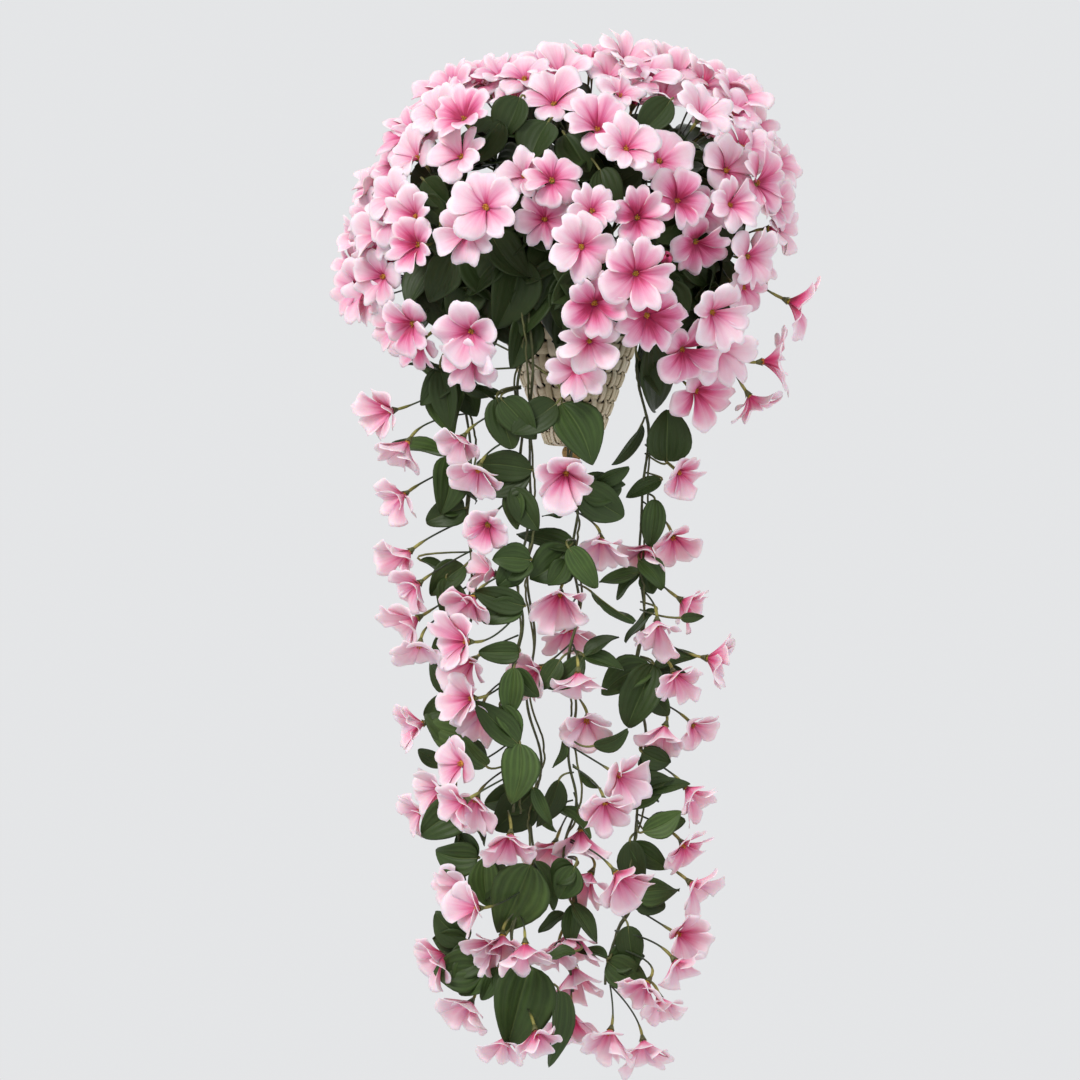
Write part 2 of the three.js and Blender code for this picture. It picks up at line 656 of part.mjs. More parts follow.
function headLeaf(spray, index) {
  const [x, y] = spray.leaves[index];
  const dome = onDome(x, y);
  const root = alongStem(spray, LEAF_ROOTS[0] - LEAF_ROOTS[1] * index);
  const width = HEAD_LEAF_WIDTH * (HEAD_LEAF_SIZES[0] + HEAD_LEAF_SIZES[1] * draw());
  const make = (shift, slide, scale) => {
    const tip = plus(plus(at(x, y, dome.depth), slide), times(dome.out, shift - HEAD_LEAF_INSET));
    const base = between(root, tip, HEAD_LEAF_BASE);
    const u = unit(minus(tip, base));
    const n = unit(minus(dome.out, times(u, dot(dome.out, u))));
    const v = cross(n, u);
    return leafPiece({ base, tip, u, n, v, width: width * scale, root, owner: spray, stem: spray.stem });
  };
  return settle(make, leafSolid, HEAD_SHIFTS.leaf);
}

// ---------------------------------------------------------------- the vines
function growVineStem(vine) {
  growStem(vine, vine.path.map(([x, y, depth]) => at(x, y, depth)), VINE_STEM);
}

function vineBloom(vine, entry) {
  const [x, y, degrees, toward] = entry;
  const n = facing(degrees, toward);
  const sides = crosswise(n, draw() * 2 * Math.PI);
  const forward = BLOOM_FORWARD.least + BLOOM_FORWARD.range * draw() + BLOOM_FORWARD.toward * toward;
  const level = at(x, y, MIDDLE_DEPTH)[2];
  const nearest = atHeight(vine, level);
  const rise = PEDICEL_RISE.middle * (PEDICEL_RISE.least + PEDICEL_RISE.range * draw());
  const root = atHeight(vine, level + rise);
  const make = (shift, slide, scale) => {
    const size = scaled(VINE_BLOOM, scale);
    const calyx = plus(at(x, y, WALL - nearest[1] + forward + shift), slide);
    const eye = plus(calyx, times(n, CALYX.depth));
    const bend = minus(calyx, times(n, VINE_BEND));
    return bloomPiece({ eye, n, ...sides, size, root, bend, owner: vine, stem: vine.stem });
  };
  return settle(make, bloomSolid, VINE_SHIFTS);
}

function vineLeaf(vine, entry) {
  const [baseX, baseY, tipX, tipY, seen] = entry;
  const root = atHeight(vine, at(baseX, baseY, MIDDLE_DEPTH)[2] + LEAF_RISE);
  const long = Math.hypot(tipX - baseX, tipY - baseY);
  const wide = Math.max(seen, long * LEAF_SLIMNESS);
  const roll = Math.acos(seen / wide) * (draw() < 0.5 ? -1 : 1);
  const lean = LEAF_LEAN.least + LEAF_LEAN.range * draw();
  const width = wide * MM_PER_PX;
  const make = (shift, slide, scale) => {
    const depth = WALL - root[1] + VINE_LEAF_FORWARD + shift;
    const base = plus(at(baseX, baseY, depth), slide);
    const tip = plus(at(tipX, tipY, depth + lean), slide);
    const u = unit(minus(tip, base));
    const flat = unit(minus([0, -1, 0], times(u, -u[1])));
    const n = plus(times(flat, Math.cos(roll)), times(cross(flat, u), Math.sin(roll)));
    const v = cross(n, u);
    return leafPiece({ base, tip, u, n, v, width: width * scale, root, owner: vine, stem: vine.stem });
  };
  return settle(make, leafSolid, VINE_SHIFTS);
}

// ---------------------------------------------------------------- the basket
function basketHalfWidth(z) {
  const part = (z - BASKET.bottom) / (BASKET.top - BASKET.bottom);
  return BASKET.tipHalfWidth + (BASKET.rimHalfWidth - BASKET.tipHalfWidth) * part;
}

// Half-round ring with its straight side at the back: from right to left round the front.
function halfRing(halfWidth, z, inset, columns, push) {
  const ring = [];
  for (let i = 0; i <= columns; i += 1) {
    const angle = (Math.PI * i) / columns;
    const out = i > 0 && i < columns ? push(i) : 0;
    const half = halfWidth - inset + out;
    const depth = halfWidth * BASKET.depthRatio - 2 * inset + out;
    ring.push([half * Math.cos(angle), WALL - inset - depth * Math.sin(angle), z]);
  }
  return ring;
}

// A solid through rings from the top down, each counted clockwise seen from above.
function lofted(rings) {
  const points = rings.flat();
  const size = rings[0].length;
  const index = rings.map((ring, j) => ring.map((point, i) => j * size + i).reverse());
  const faces = [];
  for (let j = 0; j + 1 < index.length; j += 1) faces.push(...band(index[j], index[j + 1]));
  const top = index[0];
  const bottom = index[index.length - 1];
  for (let i = 1; i + 1 < size; i += 1) {
    faces.push([top[0], top[i], top[i + 1]], [bottom[0], bottom[i + 1], bottom[i]]);
  }
  return solidOf(points, faces);
}

const plain = () => 0;
const plainRing = (z, inset) => halfRing(basketHalfWidth(z), z, inset, BASKET.columns, plain);

function basketCone() {
  const outside = [];
  for (let j = 0; j <= BASKET.rows; j += 1) {
    const z = BASKET.top + ((BASKET.bottom - BASKET.top) * j) / BASKET.rows;
    const weave = (i) => ((i + j) % 2 === 0 ? BASKET.relief : 0);
    outside.push(halfRing(basketHalfWidth(z), z, 0, BASKET.columns, j > 0 ? weave : plain));
  }
  const floor = BASKET.bottom + BASKET.wall;
  const above = BASKET.top + 1;
  const inside = [above, floor].map((z) => plainRing(z, BASKET.wall));
  return lofted(outside).subtract(lofted(inside));
}

function foamBlock(plants) {
  const inset = BASKET.wall + FOAM.gap;
  const rings = [FOAM.top, FOAM.top - FOAM.depth].map((z) => plainRing(z, inset));
  let block = lofted(rings);
  for (const { root, size } of plants) {
    const [x, y] = root;
    block = block.subtract(hole(x, WALL + y, FOAM.top, size.rootDepth + FOAM.gap, size.radius));
  }
  return block;
}

// An upright square hole from above a level down to a depth below it.
function hole(x, y, level, depth, radius) {
  const ends = [level + HOLE.over, level - depth].map((z) => new THREE.Vector3(x, y, z));
  return solid(tube(new THREE.LineCurve3(ends[0], ends[1]), radius + HOLE.gap, HOLE.sides, 1));
}

// The braided border: a ring whose section swells and narrows along the rim.
const hoopHeight = HOOP.radius * Math.cos(Math.PI / HOOP.sides);
const hoopLevel = BASKET.top + SEAT_GAP + hoopHeight;

function rimHoop() {
  const half = BASKET.rimHalfWidth - HOOP.inset;
  const deep = BASKET.rimHalfWidth * BASKET.depthRatio - HOOP.frontInset;
  const middles = [];
  for (let i = 0; i < HOOP.arcSteps; i += 1) {
    const angle = (Math.PI * i) / (HOOP.arcSteps - 1);
    middles.push([half * Math.cos(angle), -deep * Math.sin(angle), hoopLevel]);
  }
  for (let i = 1; i < HOOP.backSteps; i += 1) {
    middles.push([-half + (2 * half * i) / HOOP.backSteps, 0, hoopLevel]);
  }
  const points = [];
  const rings = middles.map((middle, i) => {
    const next = middles[(i + 1) % middles.length];
    const last = middles[(i + middles.length - 1) % middles.length];
    const way = unit(minus(last, next));
    return hoopRing(points, middle, way, HOOP.radius * (i % 2 === 0 ? 1 : HOOP.waist));
  });
  const faces = rings.flatMap((ring, i) => band(ring, rings[(i + 1) % rings.length]));
  let hoop = solidOf(points, faces);
  for (const x of [-LOOP.halfWidth, LOOP.halfWidth]) {
    hoop = hoop.subtract(hole(x, 0, hoopLevel + HOOP.radius, HOOP.radius + LOOP.footDepth, LOOP.wire));
  }
  return hoop;
}

function hoopRing(points, middle, way, radius) {
  const aside = unit(cross(way, [0, 0, 1]));
  const ring = [];
  for (let i = 0; i < HOOP.sides; i += 1) {
    const angle = (2 * Math.PI * (i + 0.5)) / HOOP.sides;
    const up = [0, 0, radius * Math.cos(angle)];
    ring.push(points.length);
    points.push(plus(middle, plus(up, times(aside, radius * Math.sin(angle)))));
  }
  return ring;
}

// An arch of wire whose feet stand in the hoop; the nail bears at its top, in the origin.
function hangingLoop() {
  const { halfWidth, wire, footDepth } = LOOP;
  const foot = hoopLevel - footDepth + SEAT_GAP;
  const centre = wire - halfWidth;
  const points = [[-halfWidth, 0, foot], [-halfWidth, 0, (foot + centre) / 2]];
  for (let i = 0; i <= LOOP.turns; i += 1) {
    const angle = Math.PI * (1 - i / LOOP.turns);
    points.push([halfWidth * Math.cos(angle), 0, centre + halfWidth * Math.sin(angle)]);
  }
  points.push([halfWidth, 0, (foot + centre) / 2], [halfWidth, 0, foot]);
  return solid(tube(curveThrough(points), wire, LOOP.sides, LOOP.steps));
}

// The ends of the weave, tied below the tip: a small knot with crinkled strips round it.
function raffiaStrip(i) {
  const turn = (2 * Math.PI * i) / TUFT.strips + TUFT.jitter * draw();
  const way = [Math.cos(turn), Math.sin(turn), 0];
  const aside = [-way[1], way[0], 0];
  const spread = TUFT.spread[0] + TUFT.spread[1] * draw();
  const points = [];
  const rings = TUFT.bends.map(([along, aloft]) => {
    const down = [0, 0, -TUFT.length * along * (1 - spread / 2)];
    const middle = plus(plus(knotCentre(), down), times(way, TUFT.length * along * spread + aloft));
    return [[1, -1], [-1, -1], [-1, 1], [1, 1]].map(([a, b]) => {
      const corner = plus(times(aside, (a * TUFT.width) / 2), times(way, (b * TUFT.thickness) / 2));
      points.push(plus(middle, corner));
      return points.length - 1;
    });
  });
  const faces = rings.slice(1).flatMap((ring, j) => band(rings[j], ring));
  const [top, bottom] = [rings[0], rings[rings.length - 1]];
  faces.push([top[0], top[1], top[2]], [top[0], top[2], top[3]]);
  faces.push([bottom[0], bottom[2], bottom[1]], [bottom[0], bottom[3], bottom[2]]);
  return solidOf(points, faces);
}

function knotCentre() {
  return [0, WALL - BASKET.tipHalfWidth * BASKET.depthRatio * 0.5, BASKET.bottom - SEAT_GAP - TUFT.core];
}

function raffiaTuft() {
  const knot = new THREE.SphereGeometry(TUFT.core, 7, 5);
  knot.rotateX(Math.PI / 2);
  knot.scale(TUFT.knotWidth, TUFT.knotDepth, 1);
  knot.translate(...knotCentre());
  const strips = [];
  for (let i = 0; i < TUFT.strips; i += 1) strips.push(raffiaStrip(i));
  return joined([solid(knot), ...strips]);
}

// ---------------------------------------------------------------- the object
const COLOURS = {
  basket: [0xc4b592, 0.85],
  hoop: [0xb8a884, 0.85],
  wire: [0x4a4d45, 0.5],
  raffia: [0xa88a55, 0.9],
  foam: [0x4c5a3c, 0.95],
  spray: [0xe9a3bd, 0.7],
  vine: [0x2f4a2a, 0.6],
};

function meshOf(name, manifold, look) {
  const [color, roughness] = COLOURS[look];
  const material = new THREE.MeshStandardMaterial({ color, roughness, metalness: look === 'wire' ? 0.6 : 0 });
  const mesh = new THREE.Mesh(geometryOf(manifold), material);
  mesh.name = name;
  return mesh;
}

function plantSolid(plant) {
  return joined([plant.stem, ...plant.settledBlooms, ...plant.settledLeaves].map((piece) => piece.body));
}

HEAD_SPRAYS.forEach(growSprayStem);
VINES.forEach(growVineStem);
for (const spray of HEAD_SPRAYS) spray.settledBlooms = spray.blooms.map((entry, i) => headBloom(spray, i));
for (const vine of VINES) vine.settledBlooms = vine.blooms.map((entry) => vineBloom(vine, entry));
for (const spray of HEAD_SPRAYS) spray.settledLeaves = spray.leaves.map((entry, i) => headLeaf(spray, i));
for (const vine of VINES) vine.settledLeaves = vine.leaves.map((entry) => vineLeaf(vine, entry));

const numbered = (name, i) => `${name}_${String(i + 1).padStart(2, '0')}`;
const object = new THREE.Group();
object.add(meshOf('basket_cone', basketCone(), 'basket'));
object.add(meshOf('rim_hoop', rimHoop(), 'hoop'));
object.add(meshOf('hanging_loop', hangingLoop(), 'wire'));
object.add(meshOf('raffia_tuft', raffiaTuft(), 'raffia'));
object.add(meshOf('foam_block', foamBlock([...HEAD_SPRAYS, ...VINES]), 'foam'));
HEAD_SPRAYS.forEach((spray, i) => object.add(meshOf(numbered('head_spray', i), plantSolid(spray), 'spray')));
VINES.forEach((vine, i) => object.add(meshOf(numbered('vine', i), plantSolid(vine), 'vine')));

export default object;
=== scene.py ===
# A wall basket of trailing pink flowers, dressed round its imported solids: a half-round woven cone with a
# braided rim, a dome of sprays with five-petalled blooms, and five long leafy vines.
# Places are worked out in millimetres in the frame of the solids: +Z up, the viewer at -Y, the wall behind.
# The tables of the flowers hold what was read in the front view, which is 1080 pixels wide and high:
# x and y from its top left corner, and a depth from the wall in millimetres.
import math
from collections import namedtuple

import bpy
import numpy as np
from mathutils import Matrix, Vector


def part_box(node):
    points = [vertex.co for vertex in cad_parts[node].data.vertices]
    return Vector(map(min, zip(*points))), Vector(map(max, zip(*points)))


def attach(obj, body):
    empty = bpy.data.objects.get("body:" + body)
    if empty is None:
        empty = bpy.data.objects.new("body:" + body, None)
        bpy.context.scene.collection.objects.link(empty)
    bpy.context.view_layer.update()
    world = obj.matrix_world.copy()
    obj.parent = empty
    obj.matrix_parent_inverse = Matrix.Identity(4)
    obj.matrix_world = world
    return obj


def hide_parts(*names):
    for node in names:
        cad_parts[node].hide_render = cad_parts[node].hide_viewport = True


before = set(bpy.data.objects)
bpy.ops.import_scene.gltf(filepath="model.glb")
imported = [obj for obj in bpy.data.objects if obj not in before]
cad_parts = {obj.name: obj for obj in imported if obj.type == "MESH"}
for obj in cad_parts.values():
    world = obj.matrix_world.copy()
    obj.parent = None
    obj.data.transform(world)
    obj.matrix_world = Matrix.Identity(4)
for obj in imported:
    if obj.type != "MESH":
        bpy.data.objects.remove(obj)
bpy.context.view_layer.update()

SEED = 4138

# ---------------------------------------------------------------- the front view
TO_METRES = 0.001
MM_PER_PX = 0.765
VIEW_PX = 1080
VIEW_CENTRE_PX = 540
CAMERA_DISTANCE = 2200
NAIL_PX = (572, 236)

# ---------------------------------------------------------------- dimensions in mm
WALL = 4.3
WALL_PRESS = 3.5
FOAM_TOP = -38.0
ROOT_DEPTH = 24.0
UPRIGHT = (10.0, 20.0)
ARCH_HEIGHT = 12.0
SPRAY_STEM = 1.3
VINE_STEM = 0.95
STEM_SWAY = 2.8
LINE_STEP = 3.0

# The dome: half its width, its height above and below the middle, the depth of its back, how far it bulges
# from there, and the part of its radius that counts as its edge.
DOME = {"half": 176, "above": 142, "below": 165, "back": 50, "bulge": 120, "edge": 0.985}
DOME_PX = np.array([572.0, 225.0])
HUB_INSET = {"low": 26, "high": 46, "low_from_px": 300}

# A bloom: how its petals open from foot to rim in degrees, their curl, notches, waves and overlap.
HEAD = {
    "radius": 25.4, "opening": 34, "closing": 96, "curl": 30, "roll": 0.3, "notch": 0.115, "spread": 40,
    "uneven": 13, "wave": 2.3, "shoulder": 0.33, "lap": 0.95,
}
BELL = {
    "radius": 20.8, "opening": 40, "closing": 66, "curl": 20, "roll": 0.4, "notch": 0.085, "spread": 48,
    "uneven": 11, "wave": 2.5, "shoulder": 0.2, "lap": 1.9,
}
PETALS = 5
PETAL_ROWS = 10
PETAL_COLUMNS = 13
PETAL_THICK = 0.34
ANTHERS = 5
CALYX_DEPTH = 3.0
# The calyx from its foot to its rim: distance from the axis, height, and how far its five lobes stand out.
CALYX = ((0.9, -3.6, 0), (1.5, -2.6, 0), (2.2, -0.6, 0), (2.6, 1.0, 0.5), (2.35, 0.9, 0.3), (0.5, -0.6, 0))
# The thickness of a stalk near the stem, as half its width.
STALK = 0.72

LEAF_ROWS = 14
LEAF_COLUMNS = 19
LEAF_THICK = 0.5
LEAF_FOLD = 0.12
LEAF_DROOP = 0.1
LEAF_PLEAT = 0.03
LARGE_LEAF = (26, 40)
# How much painted shade darkens a leaf at the front of the dome, inside it, on a vine, where it lightens it a
# little instead, and beside another on a vine.
LEAF_PAINTED_SHADE = {"front": 0.3, "inside": 0.72, "vine": -0.04, "companion": 0.06}

BASKET = {"top": -30.0, "bottom": -160.0, "rim": 70.0, "tip": 20.0, "depth": 1.4}
WEAVE = {
    "rows": 12, "front": 17, "back": 9, "lift": 1.25, "thick": 0.9, "fill": 0.73, "inset": 1.0, "wall": 1.75,
}
RIM = {
    "half": 68.5, "deep": 93.0, "level": -26.24, "periods": 29, "strand": 1.75, "swing": 2.1, "rise": 1.3,
}
LOOP = {"half": 11.0, "foot": -28.9, "wire": 0.78, "pitch": 8.5, "top": 1.4, "step": 0.7}
KNOT = np.array([0.0, -9.7, -166.3])
RAFFIA_ENDS = 15
MOSS_FIBRES = 420

# ---------------------------------------------------------------- how the plants are laid out
# Parts of a stem's length at which its first stalk leaves, and how much sooner each next one does.
BLOOM_ROOTS = (0.98, 0.05)
LEAF_ROOTS = (0.9, 0.08)
# A leaf of the dome: the part of the way to its tip that is stalk, and its width.
HEAD_LEAF_BASE = 0.25
HEAD_LEAF_WIDTH = 32
# A vine: its depth from the wall, how far above a bloom or leaf its stalk leaves, how slim a leaf can be before
# it counts as turned aside, how far its blooms are turned to the viewer, and how much larger its leaves are.
VINE_DEPTH = 60
STALK_RISE = 20
LEAF_RISE = 6
LEAF_SLIMNESS = 0.5
VINE_TURN = (0.5, 0.28)
VINE_LEAF_GROWTH = 1.11
WIDE_LEAF = 40
COVER_SIZE = {"spray": 0.74, "vine": 0.75}
INNER_LEAVES = 9
# The share of a vine's leaves that have a smaller one beside them, and the draws of the solids' raffia.
COMPANIONS = 0.6
RAFFIA_DRAWS = 14

# Blooms at the dome's edge, where it turns away, are turned back to the viewer and drawn in a little.
EDGE = {
    "from": -0.6035, "drawn": 17, "side": 0.6, "depth": 28.3, "turned": 0.75, "turned_less": 0.55, "steep": 0.2
}
FILLER = {
    "across": 235, "up": 205, "aside": 0.9, "toward": 0.75, "lift": 0.08, "drawn": (9, 4), "edge": 190
}
# The room that a bloom takes: its reach, the slope of its cup, and the gap to the next bloom.
PETAL_REACH = 27
CUP = 0.30
PETAL_GAP = 2.2
ROUND = np.linspace(0, 2 * np.pi, 20, endpoint=False)
MOST_DRAWN = 20
# Blooms that face the viewer at least this much and are this near each other in the view are kept apart,
# between these two places in y.
FACES_VIEWER = -0.3
OVERLAP = 56
MOST_FORWARD = -188
FURTHEST_BACK = -24
# How the blooms are moved: rounds, what is near enough, the longest step, and the parts that are moved.
DRAW_IN = {"rounds": 8, "enough": 3, "part": 0.6}
LAYER = {"rounds": 60, "enough": 0.3, "most": 6, "part": 0.5, "back": 0.8, "front": 0.2}

# ---------------------------------------------------------------- the sprays, as given
# A spray's root is where it stands in the foam, x and y from the wall in mm, and its middle is the pixel that
# its blooms are gathered round. A bloom is x, y, depth and size, and where it doesn't face straight out of
# the dome, the angle that it is seen at, 0 right and 90 up, and how far it looks at the viewer, -1 to 1.
# A leaf is the x and y of its tip, and how deep that is inside the dome.
SPRAYS = [
    {
        "root": (-12, -26), "middle": (448, 119),
        "blooms": [
            (466, 122, 146, 1), (463, 159, 144, 1), (433, 82, 74, 1, 135, 0.35),
            (432, 112, 120, 0.88, 130, 0.5), (418, 112, 32, 1, 140, -0.4),
        ],
        "leaves": [(505, 138, 22)], "more_leaves": [(440, 104, 50)],
    },
    {
        "root": (-4, -38), "middle": (516, 83),
        "blooms": [
            (487, 84, 100, 1), (525, 79, 120, 0.88), (500, 62, 101, 1, 100, 0.1), (554, 107, 147, 1),
            (500, 92, 32, 1, 105, -0.5),
        ],
        "leaves": [(522, 152, 26)], "more_leaves": [(515, 118, 46)],
    },
    {
        "root": (5, -26), "middle": (569, 87),
        "blooms": [
            (561, 74, 110, 0.88), (593, 51, 34, 1, 95, -0.4), (597, 132, 152, 1), (548, 56, 98, 1, 95, 0.1),
        ],
        "leaves": [(563, 152, 14), (600, 103, 53)],
    },
    {
        "root": (14, -36), "middle": (644, 88),
        "blooms": [
            (620, 53, 88, 1, 60, 0.2), (650, 77, 100, 1), (682, 72, 85, 1, 60, 0.3), (625, 151, 170, 0.88),
            (640, 92, 32, 1, 75, -0.5),
        ],
        "leaves": [(640, 112, 22), (590, 168, 38)],
    },
    {
        "root": (23, -27), "middle": (705, 114),
        "blooms": [
            (698, 120, 124, 1), (717, 80, 67, 1), (747, 92, 71, 1), (658, 163, 156, 1),
        ],
        "leaves": [(704, 160, 14)], "more_leaves": [(680, 110, 30)],
    },
    {
        "root": (33, -18), "middle": (756, 150),
        "blooms": [
            (765, 123, 70, 0.88), (749, 145, 112, 1), (724, 172, 120, 1), (787, 162, 68, 1, 25, 0.1),
            (715, 125, 28, 0.88, 45, -0.4),
        ],
        "leaves": [(746, 175, 46)], "more_leaves": [(780, 167, 31)],
    },
    {
        "root": (33, -31), "middle": (739, 199),
        "blooms": [
            (763, 182, 122, 1, 10, 0.3), (727, 206, 136, 0.88), (791, 205, 90, 0.88, 5, 0.1),
            (675, 202, 162, 1),
        ],
        "leaves": [(738, 240, 30)], "more_leaves": [(705, 190, 50)],
    },
    {
        "root": (43, -22), "middle": (772, 263),
        "blooms": [
            (776, 230, 94, 0.88), (755, 258, 120, 1, -20, 0.5), (694, 240, 126, 0.88, -60, 0.8),
            (786, 300, 71, 1, -25, 0.1), (765, 262, 32, 1, -5, -0.5),
        ],
        "leaves": [(722, 264, 38)], "more_leaves": [(700, 250, 46)],
    },
    {
        "root": (40, -36), "middle": (736, 355),
        "blooms": [
            (710, 311, 142, 1), (760, 362, 71, 1, 5, 0), (748, 394, 70, 0.88, -55, 0), (724, 354, 116, 1),
        ],
        "leaves": [(752, 318, 22), (735, 290, 22)],
    },
    {
        "root": (24, -54), "middle": (665, 333),
        "blooms": [
            (680, 347, 130, 1), (699, 397, 72, 1, -35, 0.47), (646, 314, 154, 1), (635, 273, 182, 1),
        ],
        "leaves": [(664, 378, 38), (664, 288, 50)],
    },
    {
        "root": (17, -62), "middle": (599, 308),
        "blooms": [
            (594, 302, 174, 1), (589, 340, 154, 1, -78, 0.97), (576, 373, 130, 1, -84, 0.98),
            (636, 218, 164, 0.88),
        ],
        "leaves": [(548, 302, 22), (610, 262, 22)],
    },
    {
        "root": (-14, -50), "middle": (508, 200),
        "blooms": [
            (487, 208, 174, 1), (470, 234, 158, 0.88), (525, 178, 154, 0.86), (552, 182, 166, 0.82),
        ],
        "leaves": [(498, 170, 26), (500, 250, 22)],
    },
    {
        "root": (-32, -22), "middle": (393, 173),
        "blooms": [
            (407, 137, 113, 1), (396, 166, 105, 0.88), (368, 190, 101, 0.88, 160, 0.1), (400, 199, 133, 1),
            (380, 185, 32, 1, 160, -0.5),
        ],
        "leaves": [(436, 180, 42)], "more_leaves": [(394, 131, 52)],
    },
    {
        "root": (-28, -36), "middle": (396, 228),
        "blooms": [
            (361, 216, 91, 0.88), (384, 234, 112, 0.88), (418, 217, 139, 0.88), (421, 245, 158, 0.88),
        ],
        "leaves": [(440, 262, 22)], "more_leaves": [(424, 276, 55)],
    },
    {
        "root": (-43, -22), "middle": (380, 299),
        "blooms": [
            (376, 279, 105, 1), (350, 296, 71, 1, 200, 0.2), (415, 322, 123, 1),
            (356, 258, 53, 1, 180, -0.1), (380, 262, 30, 1, 185, -0.5),
        ],
        "leaves": [(428, 316, 22), (398, 238, 48)],
    },
    {
        "root": (-36, -44), "middle": (460, 345),
        "blooms": [
            (473, 330, 141, 1), (476, 354, 123, 0.9), (424, 338, 96, 0.85),
        ],
        "leaves": [(484, 292, 22), (514, 372, 30)], "more_leaves": [(452, 300, 34)],
    },
    {
        "root": (5, -46), "middle": (563, 234),
        "blooms": [
            (545, 220, 152, 0.88), (581, 247, 182, 1), (591, 213, 170, 0.86, 60, 0.96),
        ],
        "leaves": [(520, 282, 22), (524, 236, 21), (598, 282, 42)],
    },
]
# The blooms that hang out of the dome's right side and stay where they are read: spray and bloom, from 1.
HELD_BLOOMS = {(8, 4), (9, 2), (9, 3)}
# Small blooms between the others: x, y, depth, spray from 1, size.
FILLERS = [
    (452, 90, 76, 1, 0.9), (476, 68, 66, 2, 0.9), (585, 54, 66, 3, 0.85), (608, 78, 104, 4, 0.9),
    (706, 84, 90, 5, 0.9), (735, 112, 96, 5, 0.9), (760, 152, 88, 6, 0.9), (776, 206, 100, 7, 0.85),
    (744, 288, 104, 8, 0.85), (396, 218, 116, 14, 0.9), (370, 252, 86, 14, 0.85), (364, 302, 86, 15, 0.85),
    (394, 330, 96, 15, 0.85), (346, 268, 56, 15, 0.8), (416, 158, 116, 13, 0.9), (426, 134, 102, 13, 0.85),
    (352, 236, 66, 14, 0.8), (664, 98, 92, 4, 0.8), (514, 98, 108, 2, 0.75), (700, 212, 104, 7, 0.8),
    (620, 96, 114, 4, 0.75), (540, 70, 94, 3, 0.85), (668, 68, 74, 4, 0.9),
]
# The outline of the dome's blooms: x, y.
DOME_OUTLINE = [
    (620, 30), (600, 42), (560, 56), (520, 58), (470, 58), (432, 78), (412, 100), (392, 122), (384, 140),
    (377, 160), (362, 180), (354, 200), (351, 220), (344, 240), (340, 262), (339, 282), (344, 302),
    (360, 322), (384, 342), (410, 362), (440, 380), (700, 425), (772, 400), (785, 360), (800, 340),
    (806, 318), (820, 290), (822, 272), (792, 255), (790, 232), (793, 205), (796, 180), (792, 160),
    (780, 138), (770, 118), (760, 98), (742, 76), (686, 58), (645, 38),
]
